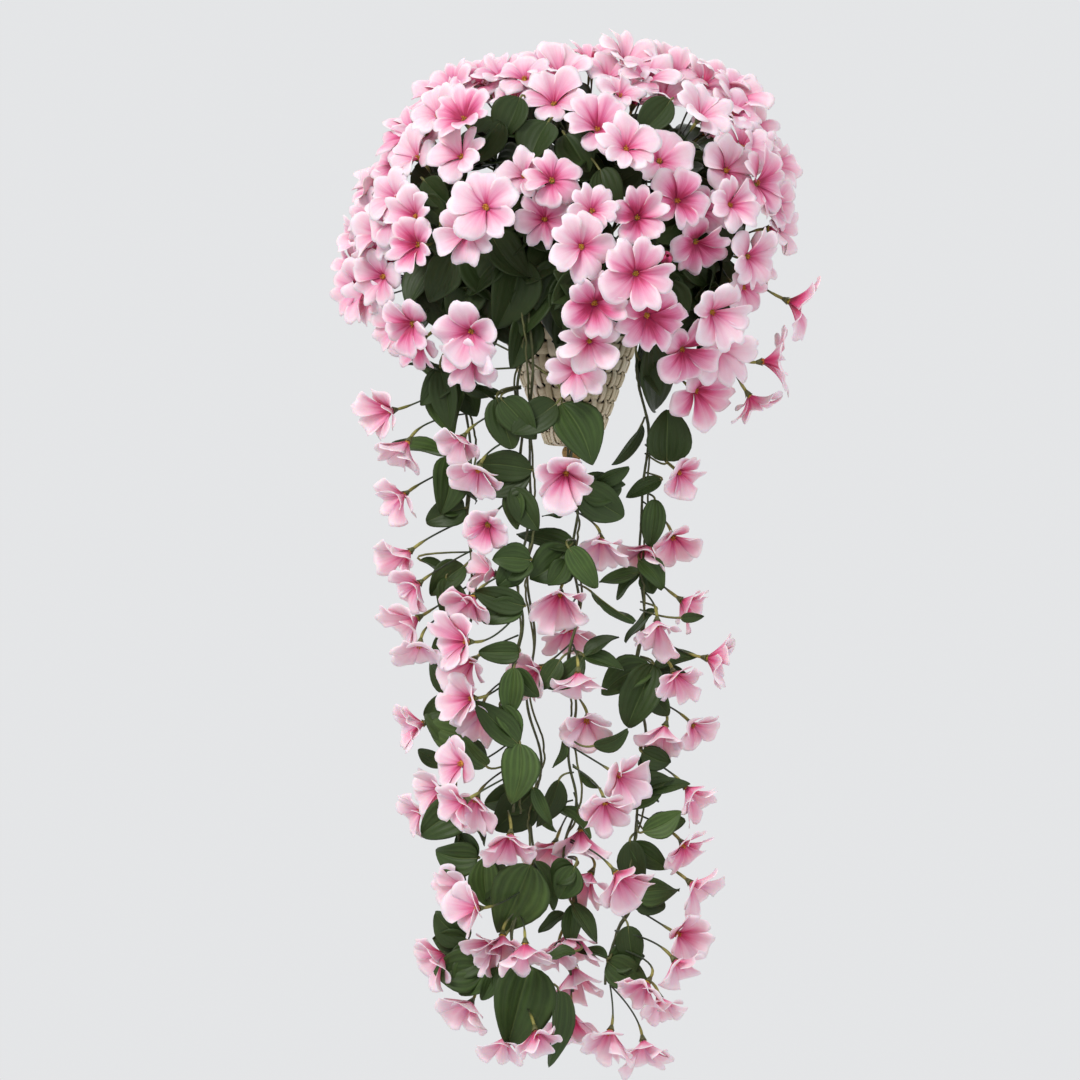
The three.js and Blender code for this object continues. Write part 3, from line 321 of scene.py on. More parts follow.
# Leaves that fill gaps: spray from 1, x and y of the foot, of the tip, their depths, the azimuth and height
# that the leaf faces in degrees, and its width.
SPRAY_COVER = [
    (12, (505, 252), (466, 292), 132, 134, -100, 15, 44),
    (12, (520, 258), (498, 328), 130, 132, -85, 8, 50),
    (15, (452, 258), (428, 300), 122, 126, -110, 10, 40),
    (16, (452, 286), (425, 338), 116, 122, -115, 5, 40),
    (16, (478, 272), (452, 322), 120, 126, -95, 12, 42),
    (17, (566, 262), (538, 312), 132, 134, -95, 10, 46), (17, (580, 272), (562, 330), 128, 132, -80, 8, 44),
    (17, (548, 286), (520, 334), 124, 130, -100, 2, 42),
    (12, (492, 236), (532, 276), 138, 138, -80, 20, 44),
    (12, (468, 250), (500, 300), 128, 130, -90, 10, 42),
    (15, (432, 262), (404, 304), 108, 114, -125, 12, 36),
    (15, (414, 288), (438, 342), 112, 116, -120, 0, 36),
    (10, (664, 284), (682, 334), 128, 130, -75, 10, 40), (9, (690, 262), (724, 300), 122, 118, -60, 15, 40),
    (9, (700, 336), (757, 316), 96, 88, -60, 55, 16), (10, (650, 366), (674, 398), 92, 96, -70, 5, 22),
    (17, (524, 318), (511, 374), 126, 130, -75, 6, 36), (16, (536, 300), (476, 312), 122, 124, -90, 25, 40),
    (16, (462, 374), (404, 360), 88, 82, -100, 60, 14), (16, (440, 368), (449, 430), 86, 90, -100, 0, 30),
    (16, (458, 374), (420, 404), 84, 86, -105, 10, 30), (16, (458, 380), (502, 397), 108, 112, -90, 50, 10),
    (8, (716, 232), (742, 262), 108, 102, -55, 10, 34), (6, (700, 176), (716, 214), 100, 100, -60, 10, 30),
    (4, (672, 98), (640, 128), 116, 122, -85, 30, 34), (2, (520, 98), (500, 138), 122, 126, -95, 30, 40),
    (3, (566, 128), (590, 164), 132, 138, -85, 25, 44), (3, (548, 122), (528, 164), 130, 136, -95, 25, 44),
    (2, (500, 122), (472, 160), 124, 128, -110, 20, 40),
    (14, (420, 200), (444, 222), 116, 120, -110, 10, 30),
    (11, (620, 290), (606, 330), 134, 134, -80, 5, 40), (7, (690, 160), (706, 200), 122, 122, -70, 10, 34),
    (12, (440, 226), (452, 262), 122, 124, -105, 5, 34), (11, (640, 300), (632, 344), 116, 116, -75, 0, 30),
    (5, (676, 128), (706, 160), 122, 120, -70, 20, 36),
    (13, (424, 180), (450, 206), 116, 122, -110, 15, 30),
    (17, (530, 196), (508, 240), 132, 134, -95, 15, 36), (3, (600, 170), (622, 206), 134, 138, -80, 20, 36),
    (16, (556, 404), (512, 432), 120, 128, -95, 10, 34), (3, (572, 112), (592, 66), 56, 50, -95, 25, 42),
    (4, (604, 112), (628, 72), 56, 50, -85, 25, 40), (5, (664, 140), (690, 96), 60, 54, -70, 20, 42),
    (2, (520, 110), (500, 72), 54, 48, -100, 25, 40), (6, (690, 150), (728, 122), 64, 58, -60, 15, 40),
    (1, (424, 178), (398, 160), 64, 58, -120, 10, 38), (8, (618, 190), (650, 166), 88, 84, -85, 10, 40),
    (7, (640, 170), (604, 186), 104, 100, -90, 5, 36), (8, (740, 236), (778, 214), 44, 38, -60, 0, 44),
    (10, (660, 262), (700, 284), 104, 102, -85, 0, 40), (8, (652, 236), (690, 220), 102, 98, -80, 5, 38),
    (9, (706, 298), (746, 314), 88, 84, -70, 0, 38), (8, (690, 250), (726, 230), 92, 86, -75, 0, 38),
]
# The blooms of a spray, from 0, that are rose nearly all over.
ROSY = {
    2: (0,), 7: (0, 3), 8: (2,), 10: (0, 1, 2), 11: (0, 3), 14: (3,), 15: (2,), 16: (2,), 17: (0,),
}
# How many leaves of a spray hang over the basket's rim.
SKIRT_LEAVES = {11: 3, 12: 4, 15: 4, 16: 6, 17: 7}
# A bud: its foot in mm, the azimuth and height that it points, and where its stalk leaves the stem in mm.
BUDS = {10: [((64, -146, -33), (-80, 10), (40, -84, -48))]}

# ---------------------------------------------------------------- the vines, as given
# A vine's path is x, y and depth of points of its hanging stem. A bloom is x, y and depth of its calyx, the
# angle that it is seen at and how far it looks at the viewer, and its size where that isn't 1. A leaf is the
# x and y of its foot and of its tip, the width that is seen of it, and its depth.
VINES = [
    {
        "root": (-46, -10),
        "path": [
            (494, 242, 38), (468, 264, 56), (463, 330, 62), (465, 395, 62), (467, 450, 62), (470, 510, 62),
            (472, 570, 60), (468, 640, 60), (459, 700, 58), (455, 770, 58), (463, 840, 58), (470, 890, 58),
            (465, 940, 58), (478, 992, 56),
        ],
        "blooms": [
            (398, 409, 58, -165, 0.1), (411, 437, 85, -120, 0.1), (409, 491, 65, -140, 0.15),
            (414, 548, 67, -140, 0.1), (423, 580, 91, -140, 0.2), (423, 615, 65, -150, 0.2),
            (421, 638, 94, -100, 0.1), (428, 722, 63, -165, 0.2), (445, 787, 53, -165, 0.3),
            (427, 808, 25, -155, 0.2), (468, 884, 56, -165, 0.3), (450, 951, 63, -150, 0.1),
            (474, 998, 55, -125, 0.15),
        ],
        "leaves": [
            (457, 381, 408, 360, 14, 66), (453, 380, 449, 428, 34, 74), (446, 455, 398, 439, 12, 66),
            (451, 457, 445, 507, 34, 71), (465, 508, 430, 520, 26, 66), (446, 578, 451, 624, 26, 68),
            (443, 634, 440, 671, 16, 64), (460, 695, 431, 668, 18, 67), (466, 741, 429, 713, 36, 64),
            (442, 766, 420, 752, 15, 62), (463, 810, 426, 832, 36, 64), (478, 858, 439, 854, 32, 67),
            (468, 940, 438, 919, 30, 64), (483, 967, 440, 973, 40, 67),
        ],
        "more_leaves": [
            (421, 560, 453, 575, 8, 65), (475, 820, 487, 845, 8, 62),
        ],
    },
    {
        "root": (-22, -60),
        "path": [
            (545, 228, 96), (528, 256, 118), (522, 330, 118), (521, 400, 110), (520, 460, 100),
            (524, 540, 96), (520, 600, 96), (517, 660, 96), (512, 720, 96), (512, 780, 96), (508, 812, 96),
        ],
        "blooms": [
            (466, 433, 112, -125, 0.1), (481, 463, 131, -110, 0.3), (490, 519, 106, -110, 0.55),
            (477, 592, 99, -125, 0.3), (500, 575, 75, 168, -0.2, 0.88), (474, 642, 129, 175, 0.3),
            (478, 656, 92, -140, 0.25), (478, 698, 110, 180, 0.45), (484, 701, 78, -110, 0.15),
            (468, 764, 105, 175, 0.3), (479, 793, 89, -115, 0.2), (470, 798, 136, -150, 0.2),
            (511, 829, 99, -95, 0.25),
        ],
        "leaves": [
            (497, 398, 511, 444, 30, 120), (502, 400, 532, 436, 30, 124), (524, 426, 559, 410, 26, 112),
            (532, 470, 482, 466, 28, 104), (512, 488, 535, 526, 26, 103), (530, 560, 497, 558, 26, 105),
            (524, 606, 480, 594, 24, 104), (519, 652, 483, 653, 20, 100), (514, 668, 510, 712, 22, 104),
            (518, 744, 480, 706, 24, 104), (486, 766, 466, 741, 18, 102), (520, 744, 512, 798, 34, 105),
        ],
        "more_leaves": [
            (461, 380, 497, 396, 10, 106),
        ],
    },
    {
        "root": (-8, -70),
        "path": [
            (553, 222, 104), (537, 252, 124), (531, 330, 124), (531, 400, 112), (530, 470, 70),
            (530, 560, 48), (531, 640, 44), (532, 720, 44), (538, 784, 50), (532, 850, 64), (524, 900, 76),
            (516, 940, 82), (522, 985, 82), (520, 1030, 78),
        ],
        "blooms": [
            (503, 930, 84, -95, 0.2), (525, 938, 118, -88, 0.25), (484, 908, 106, 180, 0.2),
            (501, 939, 83, -145, 0.2, 0.88), (508, 1032, 80, -110, 0.2), (534, 1025, 112, -75, 0.2, 0.88),
        ],
        "leaves": [
            (534, 790, 500, 828, 38, 54), (536, 790, 550, 829, 16, 59), (485, 858, 488, 902, 28, 68),
            (530, 865, 500, 935, 58, 80), (530, 966, 512, 1046, 60, 94), (559, 991, 558, 1060, 20, 90),
            (497, 968, 484, 998, 16, 88),
        ],
        "more_leaves": [
            (533, 862, 558, 908, 8, 69),
        ],
    },
    {
        "root": (3, -68),
        "path": [
            (584, 226, 104), (580, 254, 122), (576, 330, 122), (575, 400, 112), (575, 450, 100),
            (574, 520, 84), (577, 580, 78), (573, 640, 76), (573, 700, 72), (571, 740, 68), (574, 790, 62),
            (567, 840, 56), (573, 900, 50), (574, 950, 48), (571, 992, 48),
        ],
        "blooms": [
            (567, 468, 109, -100, 0.7), (600, 533, 82, -85, 0.35), (561, 588, 78, -95, 0.4),
            (568, 622, 54, -88, 0.25), (545, 665, 72, -150, 0.2), (578, 667, 97, -90, -0.1),
            (587, 714, 69, -95, 0.45), (613, 772, 72, -30, 0.5), (603, 796, 98, -75, 0.4),
            (581, 824, 56, -90, 0), (557, 838, 30, -110, 0), (594, 868, 54, -120, 0.2),
            (612, 868, 92, -50, 0.1), (572, 924, 48, -85, 0.15), (559, 941, 56, -100, 0.1, 0.88),
            (575, 962, 39, -90, 0.1), (571, 1005, 45, -90, 0),
        ],
        "leaves": [
            (562, 404, 590, 457, 42, 117), (596, 483, 626, 470, 14, 98), (577, 487, 619, 515, 34, 101),
            (574, 548, 524, 530, 20, 86), (568, 548, 535, 576, 40, 88), (569, 548, 595, 584, 22, 106),
            (583, 657, 551, 685, 22, 82), (583, 656, 621, 666, 15, 80), (594, 746, 626, 736, 14, 88),
            (559, 780, 541, 824, 22, 75), (558, 808, 591, 830, 14, 65), (575, 866, 559, 896, 28, 82),
            (572, 903, 597, 937, 14, 63),
        ],
        "more_leaves": [
            (568, 509, 543, 519, 7, 92), (591, 592, 632, 626, 9, 94), (563, 742, 556, 768, 10, 72),
            (580, 772, 598, 791, 9, 69), (565, 914, 537, 930, 10, 46), (575, 951, 545, 958, 10, 80),
        ],
    },
    {
        "root": (36, -48),
        "path": [
            (628, 234, 74), (644, 270, 82), (642, 330, 78), (643, 370, 66), (645, 440, 52), (643, 500, 48),
            (641, 570, 48), (640, 640, 48), (642, 720, 48), (640, 790, 48), (634, 860, 48), (628, 905, 50),
            (615, 930, 50), (610, 985, 50),
        ],
        "blooms": [
            (674, 468, 53, -45, 0.4), (652, 541, 47, -120, 0.3), (671, 531, 18, -75, 0.4),
            (677, 597, 42, -35, 0), (657, 616, 76, -90, 0), (701, 657, 54, -10, 0),
            (672, 668, 65, -70, 0.2), (667, 721, 54, -110, 0.3), (688, 720, 24, -45, 0.2),
            (682, 783, 54, -50, -0.1), (679, 839, 52, -50, 0.1), (686, 879, 50, -40, 0.1),
            (672, 931, 51, -25, 0.5), (671, 956, 80, -50, 0.1), (658, 992, 48, -75, 0.1),
            (651, 977, 83, -125, 0.2), (612, 1025, 67, -105, 0.2), (642, 1035, 32, -80, 0.15),
        ],
        "leaves": [
            (667, 461, 670, 416, 40, 59), (661, 480, 630, 494, 14, 53), (655, 500, 650, 541, 22, 52),
            (640, 572, 603, 580, 12, 64), (648, 570, 652, 592, 18, 52), (653, 665, 629, 719, 36, 57),
            (652, 668, 691, 653, 13, 52), (642, 752, 668, 762, 22, 56), (650, 786, 622, 803, 22, 52),
            (633, 790, 669, 780, 18, 57), (647, 830, 682, 822, 22, 54), (630, 841, 641, 885, 26, 52),
            (637, 893, 675, 893, 30, 53), (628, 926, 633, 968, 26, 59), (608, 962, 643, 984, 30, 54),
        ],
        "more_leaves": [
            (642, 425, 617, 467, 9, 60), (656, 610, 621, 637, 9, 52), (681, 618, 704, 617, 10, 72),
            (607, 958, 577, 949, 7, 58),
        ],
    },
]
# More leaves on the vines, as in SPRAY_COVER.
VINE_COVER = [
    (1, (472, 738), (429, 724), 68, 68, -100, 10, 38), (1, (466, 742), (486, 764), 54, 56, -90, 0, 22),
    (2, (533, 788), (552, 826), 100, 102, -80, 0, 14), (3, (500, 860), (478, 900), 66, 70, -100, 5, 32),
    (5, (663, 785), (617, 806), 62, 66, -95, 10, 26), (5, (645, 791), (689, 780), 62, 64, -75, 15, 17),
    (5, (643, 832), (681, 812), 64, 66, -80, 10, 26), (1, (486, 950), (446, 976), 66, 70, -105, 5, 36),
    (1, (452, 700), (424, 716), 62, 64, -100, 0, 24), (2, (500, 706), (520, 742), 102, 104, -85, 0, 24),
    (4, (566, 560), (548, 585), 96, 98, -95, 5, 24), (5, (640, 560), (664, 588), 60, 62, -80, 5, 24),
    (1, (464, 566), (430, 594), 66, 70, -105, 5, 30), (2, (520, 560), (498, 586), 102, 104, -95, 5, 28),
    (4, (560, 660), (540, 690), 88, 90, -95, 5, 22), (5, (646, 690), (668, 716), 60, 62, -80, 5, 24),
]

OUTLINE = np.array(DOME_OUTLINE, float)
OUTLINE_WAY = np.roll(OUTLINE, -1, axis=0) - OUTLINE

# ---------------------------------------------------------------- geometry in numpy


def unit(a):
    """Directions of length 1."""
    return a / np.maximum(np.linalg.norm(a, axis=-1, keepdims=True), 1e-9)


def square_to(n, way):
    """The part of a direction that is square to a line."""
    u = unit(way)
    return unit(n - u * np.dot(n, u))


def facing(azimuth, height):
    """A direction from its azimuth and height in degrees."""
    a, h = math.radians(azimuth), math.radians(height)
    return np.array([math.cos(h) * math.cos(a), math.cos(h) * math.sin(a), math.sin(h)])


def angles(n):
    """Azimuth and height of a direction in degrees."""
    return math.degrees(math.atan2(n[1], n[0])), math.degrees(math.asin(max(-1.0, min(1.0, n[2]))))


def turns(count):
    """Even angles round a circle."""
    return 2 * np.pi * np.arange(count) / count


def circle(u, v, angle):
    """Points at angles round a circle that has u and v for its sides."""
    return u * np.cos(angle)[..., None] + v * np.sin(angle)[..., None]


def crosswise(n, turn):
    """Two directions across n, turned by an angle in degrees."""
    helper = np.array([0.0, 0.0, 1.0] if abs(n[2]) < 0.9 else [1.0, 0.0, 0.0])
    a = unit(np.cross(helper, n))
    b = np.cross(n, a)
    t = math.radians(turn)
    u = a * math.cos(t) + b * math.sin(t)
    return u, np.cross(n, u)


def run_along(path):
    """The way run from a path's start to each of its points."""
    return np.concatenate([[0], np.cumsum(np.linalg.norm(np.diff(path, axis=0), axis=1))])


def smooth_path(points, step):
    """A curve through points, sampled evenly."""
    p = np.asarray(points, float)
    p = np.vstack([2 * p[0] - p[1], p, 2 * p[-1] - p[-2]])
    t = np.linspace(0, 1, 24, endpoint=False)[:, None]
    parts = []
    for a, b, c, d in zip(p[:-3], p[1:-2], p[2:-1], p[3:]):
        m, n = 0.5 * (c - a), 0.5 * (d - b)
        parts.append(
            (2 * t**3 - 3 * t**2 + 1) * b + (t**3 - 2 * t**2 + t) * m
            + (3 * t**2 - 2 * t**3) * c + (t**3 - t**2) * n
        )
    line = np.vstack(parts + [p[-2]])
    run = run_along(line)
    at = np.linspace(0, run[-1], max(int(round(run[-1] / step)), 3) + 1)
    return np.stack([np.interp(at, run, line[:, k]) for k in range(3)], axis=1)


def bend(start, middle, end, count):
    """A curve that leaves its start toward the middle point and comes from there to its end."""
    t = np.linspace(0, 1, count)[:, None]
    return (1 - t) ** 2 * start + 2 * t * (1 - t) * middle + t**2 * end


def framed(path):
    """Direction along a path and two across it that don't twist."""
    way = unit(np.gradient(path, axis=0))
    side = np.zeros_like(path)
    last = np.cross(way[0], np.eye(3)[np.argmin(np.abs(way[0]))])
    for i, w in enumerate(way):
        last = unit(last - w * np.dot(last, w))
        side[i] = last
    return way, side, np.cross(way, side)


# ---------------------------------------------------------------- places worked out from the front view
Flower = namedtuple("Flower", "eye face turn size root")
Blade = namedtuple("Blade", "foot tip face width root")


def seen(x, y, depth):
    """The point at a pixel of the front view and a depth from the wall."""
    mm = MM_PER_PX * (1 - depth / CAMERA_DISTANCE)
    aside = (VIEW_CENTRE_PX - NAIL_PX[0]) * MM_PER_PX
    down = (NAIL_PX[1] - VIEW_CENTRE_PX) * MM_PER_PX
    return np.array([(x - VIEW_CENTRE_PX) * mm + aside, WALL - depth, (VIEW_CENTRE_PX - y) * mm + down])


def on_dome(x, y):
    """Depth and outward direction of the dome at a pixel."""
    half, high = DOME["half"], DOME["above"] if y < DOME_PX[1] else DOME["below"]
    across, up = (x - DOME_PX[0]) * MM_PER_PX / half, (DOME_PX[1] - y) * MM_PER_PX / high
    reach = min(DOME["edge"] / math.hypot(across, up), 1)
    across, up = across * reach, up * reach
    forward = math.sqrt(1 - across**2 - up**2)
    out = unit(np.array([across / half, -forward / DOME["bulge"], up / high]))
    return DOME["back"] + DOME["bulge"] * forward, out


def pointing(degrees, toward):
    """A direction seen at an angle in the front view, 0 right and 90 up, that also looks at the viewer."""
    aside = math.sqrt(1 - toward**2)
    turn = math.radians(degrees)
    return np.array([math.cos(turn) * aside, -toward, math.sin(turn) * aside])


def seeded_draws(seed):
    """The solids' draws, so that blooms and leaves turn as theirs do."""
    while True:
        seed = seed * 16807 % 2147483647
        yield seed / 2147483647


def upright(plant):
    """The first points of a stem, which stands straight in the foam."""
    x, y = plant["root"]
    return [(x, WALL + y, z) for z in (FOAM_TOP - ROOT_DEPTH, FOAM_TOP + UPRIGHT[0], FOAM_TOP + UPRIGHT[1])]


def along(line, part):
    """A point at a part of a line's length."""
    place = part * (len(line) - 1)
    i = min(int(place), len(line) - 2)
    return line[i] + (line[i + 1] - line[i]) * (place - i)


def at_height(line, z):
    """The point of the hanging part of a stem at a height."""
    for low, high in zip(line[:0:-1], line[-2::-1]):
        if high[2] < low[2]:
            return low
        if z <= high[2]:
            return low + (high - low) * max((z - low[2]) / (high[2] - low[2]), 0)
    return line[0]


def spray_stem(spray):
    """Ends a spray's stem under the middle of its blooms."""
    x, y = spray["middle"]
    depth, out = on_dome(x, y)
    inset = HUB_INSET["low"] if y > HUB_INSET["low_from_px"] else HUB_INSET["high"]
    hub = seen(x, y, depth) - out * inset
    foot = upright(spray)[0]
    arch = ((foot[0] + hub[0]) / 2, (foot[1] + hub[1]) / 2, ARCH_HEIGHT + max(hub[2], 0) / 2)
    spray["hub"] = hub
    spray["points"] = [*upright(spray), arch, hub]
    spray["line"] = smooth_path(spray["points"], LINE_STEP)


def vine_stem(vine):
    vine["points"] = [*upright(vine), *(seen(*place) for place in vine["path"])]
    vine["line"] = smooth_path(vine["points"], LINE_STEP)


class DomeBloom:
    """A bloom of the dome while its place is sought: a pixel, a depth, and the way it faces."""

    def __init__(self, spray, pixel, depth, face, turn, size, root, held=False):
        self.spray, self.held = spray, held
        self.pixel, self.y, self.face = pixel, WALL - depth, face
        self.turn, self.size, self.root = turn, size, root
        self.radius = PETAL_REACH * size

    def ring(self, part, rise):
        """Points round the bloom as seen from its eye."""
        u, v = crosswise(self.face, 0)
        return self.face * (rise * self.radius) + circle(u, v, ROUND) * (part * self.radius)

    def draw_in(self):
        """Moves the bloom until its petals are inside the dome's outline, by a limited way."""
        mm = MM_PER_PX * (1 - (WALL - self.y) / CAMERA_DISTANCE)
        ring = self.ring(0.97, 0.25)[:, [0, 2]] * (1, -1) / mm
        start = self.pixel
        for _ in range(DRAW_IN["rounds"]):
            far, way = max((outside(self.pixel + p) for p in ring), key=lambda found: found[0])
            if far < DRAW_IN["enough"]:
                break
            self.pixel = self.pixel + way * DRAW_IN["part"]
        moved = self.pixel - start
        if math.hypot(*moved) > MOST_DRAWN:
            self.pixel = start + moved / math.hypot(*moved) * MOST_DRAWN

    def settle(self, y):
        self.y = y
        self.eye = seen(*self.pixel, WALL - y)

    def need(self, points, sign):
        """How far points in front of the bloom's cup (1) or behind it (-1) still are from clearing it."""
        y = np.full(len(points), self.y)
        for _ in range(6):
            away = np.column_stack([points[:, 0], y, points[:, 2]]) - self.eye
            axial = away @ self.face
            radial = np.linalg.norm(away - axial[:, None] * self.face, axis=1)
            y = y - (axial - CUP * radial) / self.face[1] * 0.8
        over = radial < self.radius * 0.95
        return (sign * (y - points[:, 1]))[over].max() + PETAL_GAP if over.any() else 0

    def flower(self):
        return Flower(self.eye, self.face, self.turn, self.size, self.root)


def dome_bloom(spray, k, entry, draws):
    """A bloom of the dome as it is read from the view."""
    x, y, depth, size, *way = entry
    pixel = np.array([x, y], float)
    face = pointing(*way) if way else on_dome(x, y)[1]
    held = (spray["number"], k + 1) in HELD_BLOOMS
    if face[1] > EDGE["from"] and not held:
        aside = pixel - DOME_PX
        pixel -= aside / math.hypot(*aside) * EDGE["drawn"] * (1.0 if face[1] > 0 else EDGE["side"])
        depth = max(depth, EDGE["depth"])
        turned = EDGE["turned"] if face[1] > EDGE["steep"] else EDGE["turned_less"]
        face = unit(face - np.array([0, turned, 0]))
    root = along(spray["line"], BLOOM_ROOTS[0] - BLOOM_ROOTS[1] * k)
    return DomeBloom(spray, pixel, depth, face, 360 * next(draws), size, root, held)


def filler_bloom(entry):
    """A small bloom between the others, facing outwards and at the viewer."""
    x, y, depth, number, size = entry
    spray = SPRAYS[number - 1]
    across, up = (x - DOME_PX[0]) / FILLER["across"], (DOME_PX[1] - y) / FILLER["up"]
    face = unit(np.array([across * FILLER["aside"], -FILLER["toward"], up * FILLER["aside"] + FILLER["lift"]]))
    aside = np.array([x, y], float) - DOME_PX
    reach = math.hypot(*aside)
    pixel = np.array([x, y], float) - aside / reach * FILLER["drawn"][0 if reach > FILLER["edge"] else 1]
    return DomeBloom(spray, pixel, depth, face, (7 * x + 13 * y) % 72, size, spray["hub"] * 0.97)


def outside(pixel):
    """How far a pixel lies outside the dome's outline, and the way back to it."""
    part = np.clip(((pixel - OUTLINE) * OUTLINE_WAY).sum(axis=1) / (OUTLINE_WAY**2).sum(axis=1), 0, 1)
    back = OUTLINE + OUTLINE_WAY * part[:, None] - pixel
    far = np.hypot(*back.T)
    ends = OUTLINE + OUTLINE_WAY
    crosses = (OUTLINE[:, 1] > pixel[1]) != (ends[:, 1] > pixel[1])
    slope = OUTLINE_WAY[:, 0] / np.where(crosses, OUTLINE_WAY[:, 1], 1)
    right = pixel[0] < slope * (pixel[1] - OUTLINE[:, 1]) + OUTLINE[:, 0]
    inside = np.count_nonzero(crosses & right) % 2 == 1
    return (0 if inside else far.min()), back[far.argmin()]


def part_blooms(front, back):
    """Moves two blooms a step apart where one cuts through the other, and says whether it did."""
    apart = front.eye - back.eye
    if math.hypot(apart[0], apart[2]) > OVERLAP:
        return False
    need = max(front.need(back.eye + back.rings, 1), back.need(front.eye + front.rings, -1))
    if need <= LAYER["enough"]:
        return False
    step = min(need, LAYER["most"]) * LAYER["part"]
    recedes = back.y + step < FURTHEST_BACK
    if recedes:
        back.settle(back.y + step * LAYER["back"])
    front.settle(max(front.y - step * (LAYER["front"] if recedes else 1), MOST_FORWARD))
    return True


def layer(blooms):
    """Shifts blooms forward and back until none cuts through another that it overlaps in the view."""
    blooms = sorted((b for b in blooms if b.face[1] <= FACES_VIEWER), key=lambda b: b.y)
    for bloom in blooms:
        bloom.rings = np.vstack([bloom.ring(part, CUP * part) for part in (0.5, 0.8, 1.0)])
    for _ in range(LAYER["rounds"]):
        settled = True
        for i, front in enumerate(blooms):
            for back in blooms[i + 1:]:
                settled = not part_blooms(front, back) and settled
        if settled:
            break


def head_leaf(spray, k, entry, draws):
    """A leaf of the dome: its tip is read from the view, its foot lies on the way from the stem."""
    x, y, inset = entry
    depth, out = on_dome(x, y)
    root = along(spray["line"], LEAF_ROOTS[0] - LEAF_ROOTS[1] * k)
    tip = seen(x, y, depth) - out * inset
    foot = root + (tip - root) * HEAD_LEAF_BASE
    return Blade(foot, tip, square_to(out, tip - foot), HEAD_LEAF_WIDTH * (0.85 + 0.3 * next(draws)), root)


def vine_bloom(vine, k, entry, draws):
    """A bloom of a vine: its calyx is read from the view, and every other one looks more at the viewer."""
    x, y, depth, degrees, toward, *size = entry
    way = pointing(degrees, toward)
    turn, _, rise = next(draws), next(draws), next(draws)
    eye = seen(x, y, depth) + way * CALYX_DEPTH
    root = at_height(vine["line"], seen(x, y, VINE_DEPTH)[2] + STALK_RISE * (0.8 + 0.4 * rise))
    face = unit(way - np.array([0, VINE_TURN[k % 2], 0]))
    return Flower(eye, face, 360 * turn, size[0] if size else 1, root)


def vine_leaf(vine, entry, draws, growth=VINE_LEAF_GROWTH):
    """A leaf of a vine: foot, tip and seen width are read from the view. A slim one is seen turned aside."""
    x, y, tip_x, tip_y, width, depth = entry
    wide = max(width, math.hypot(tip_x - x, tip_y - y) * LEAF_SLIMNESS)
    roll = math.acos(width / wide) * (-1 if next(draws) < 0.5 else 1)
    foot, tip = seen(x, y, depth), seen(tip_x, tip_y, depth - 4 + 12 * next(draws))
    u = unit(tip - foot)
    flat = unit(np.array([0, -1, 0]) + u * u[1])
    face = flat * math.cos(roll) + np.cross(flat, u) * math.sin(roll)
    root = at_height(vine["line"], seen(x, y, VINE_DEPTH)[2] + LEAF_RISE)
    wide *= MM_PER_PX
    if wide >= WIDE_LEAF:
        growth = 1.0
    return Blade(foot, foot + (tip - foot) * growth, face, wide * growth, root)


def cover_leaf(plant, entry, size):
    """A leaf that fills a gap."""
    foot_px, tip_px, foot_depth, tip_depth, azimuth, height, width = entry
    foot, tip = seen(*foot_px, foot_depth), seen(*tip_px, tip_depth)
    if "hub" in plant:
        root = plant["hub"] + (foot - plant["hub"]) * 0.1
    else:
        root = at_height(plant["line"], foot[2] + LEAF_RISE)
    return Blade(foot, tip, facing(azimuth, height), width * size, root)


def lay_out():
    """Works out the places of all blooms and leaves, with the draws in the solids' order."""
    draws = seeded_draws(SEED)
    for k, spray in enumerate(SPRAYS):
        spray["number"] = k + 1
        spray_stem(spray)
    for vine in VINES:
        vine_stem(vine)
    blooms = []
    for spray in SPRAYS:
        blooms += [dome_bloom(spray, k, entry, draws) for k, entry in enumerate(spray["blooms"])]
    for vine in VINES:
        vine["flowers"] = [vine_bloom(vine, k, entry, draws) for k, entry in enumerate(vine["blooms"])]
    for spray in SPRAYS:
        spray["blades"] = [head_leaf(spray, k, entry, draws) for k, entry in enumerate(spray["leaves"])]
    for vine in VINES:
        vine["blades"] = [vine_leaf(vine, entry, draws) for entry in vine["leaves"]]
    for _ in range(RAFFIA_DRAWS):
        next(draws)
    for spray in SPRAYS:
        more = enumerate(spray.get("more_leaves", ()), len(spray["leaves"]))
        spray["more_blades"] = [head_leaf(spray, k, entry, draws) for k, entry in more]
    for vine in VINES:
        vine["more_blades"] = [vine_leaf(vine, entry, draws, 1.0) for entry in vine["more_leaves"]]
    blooms += [filler_bloom(entry) for entry in FILLERS]
    for bloom in blooms:
        if not bloom.held:
            bloom.draw_in()
        bloom.settle(bloom.y)
    layer(blooms)
    for spray in SPRAYS:
        spray["flowers"] = [bloom.flower() for bloom in blooms if bloom.spray is spray]
    for number, *entry in SPRAY_COVER:
        spray = SPRAYS[number - 1]
        spray["more_blades"].append(cover_leaf(spray, entry, COVER_SIZE["spray"]))
    for number, *entry in VINE_COVER:
        vine = VINES[number - 1]
        vine["more_blades"].append(cover_leaf(vine, entry, COVER_SIZE["vine"]))


lay_out()
DOME_FLOWERS = [flower for spray in SPRAYS for flower in spray["flowers"]]
DOME_EYES = np.array([flower.eye for flower in DOME_FLOWERS])
DOME_FACES = np.array([flower.face for flower in DOME_FLOWERS])
DOME_SIZES = np.array([flower.size for flower in DOME_FLOWERS], float)


# ---------------------------------------------------------------- meshes


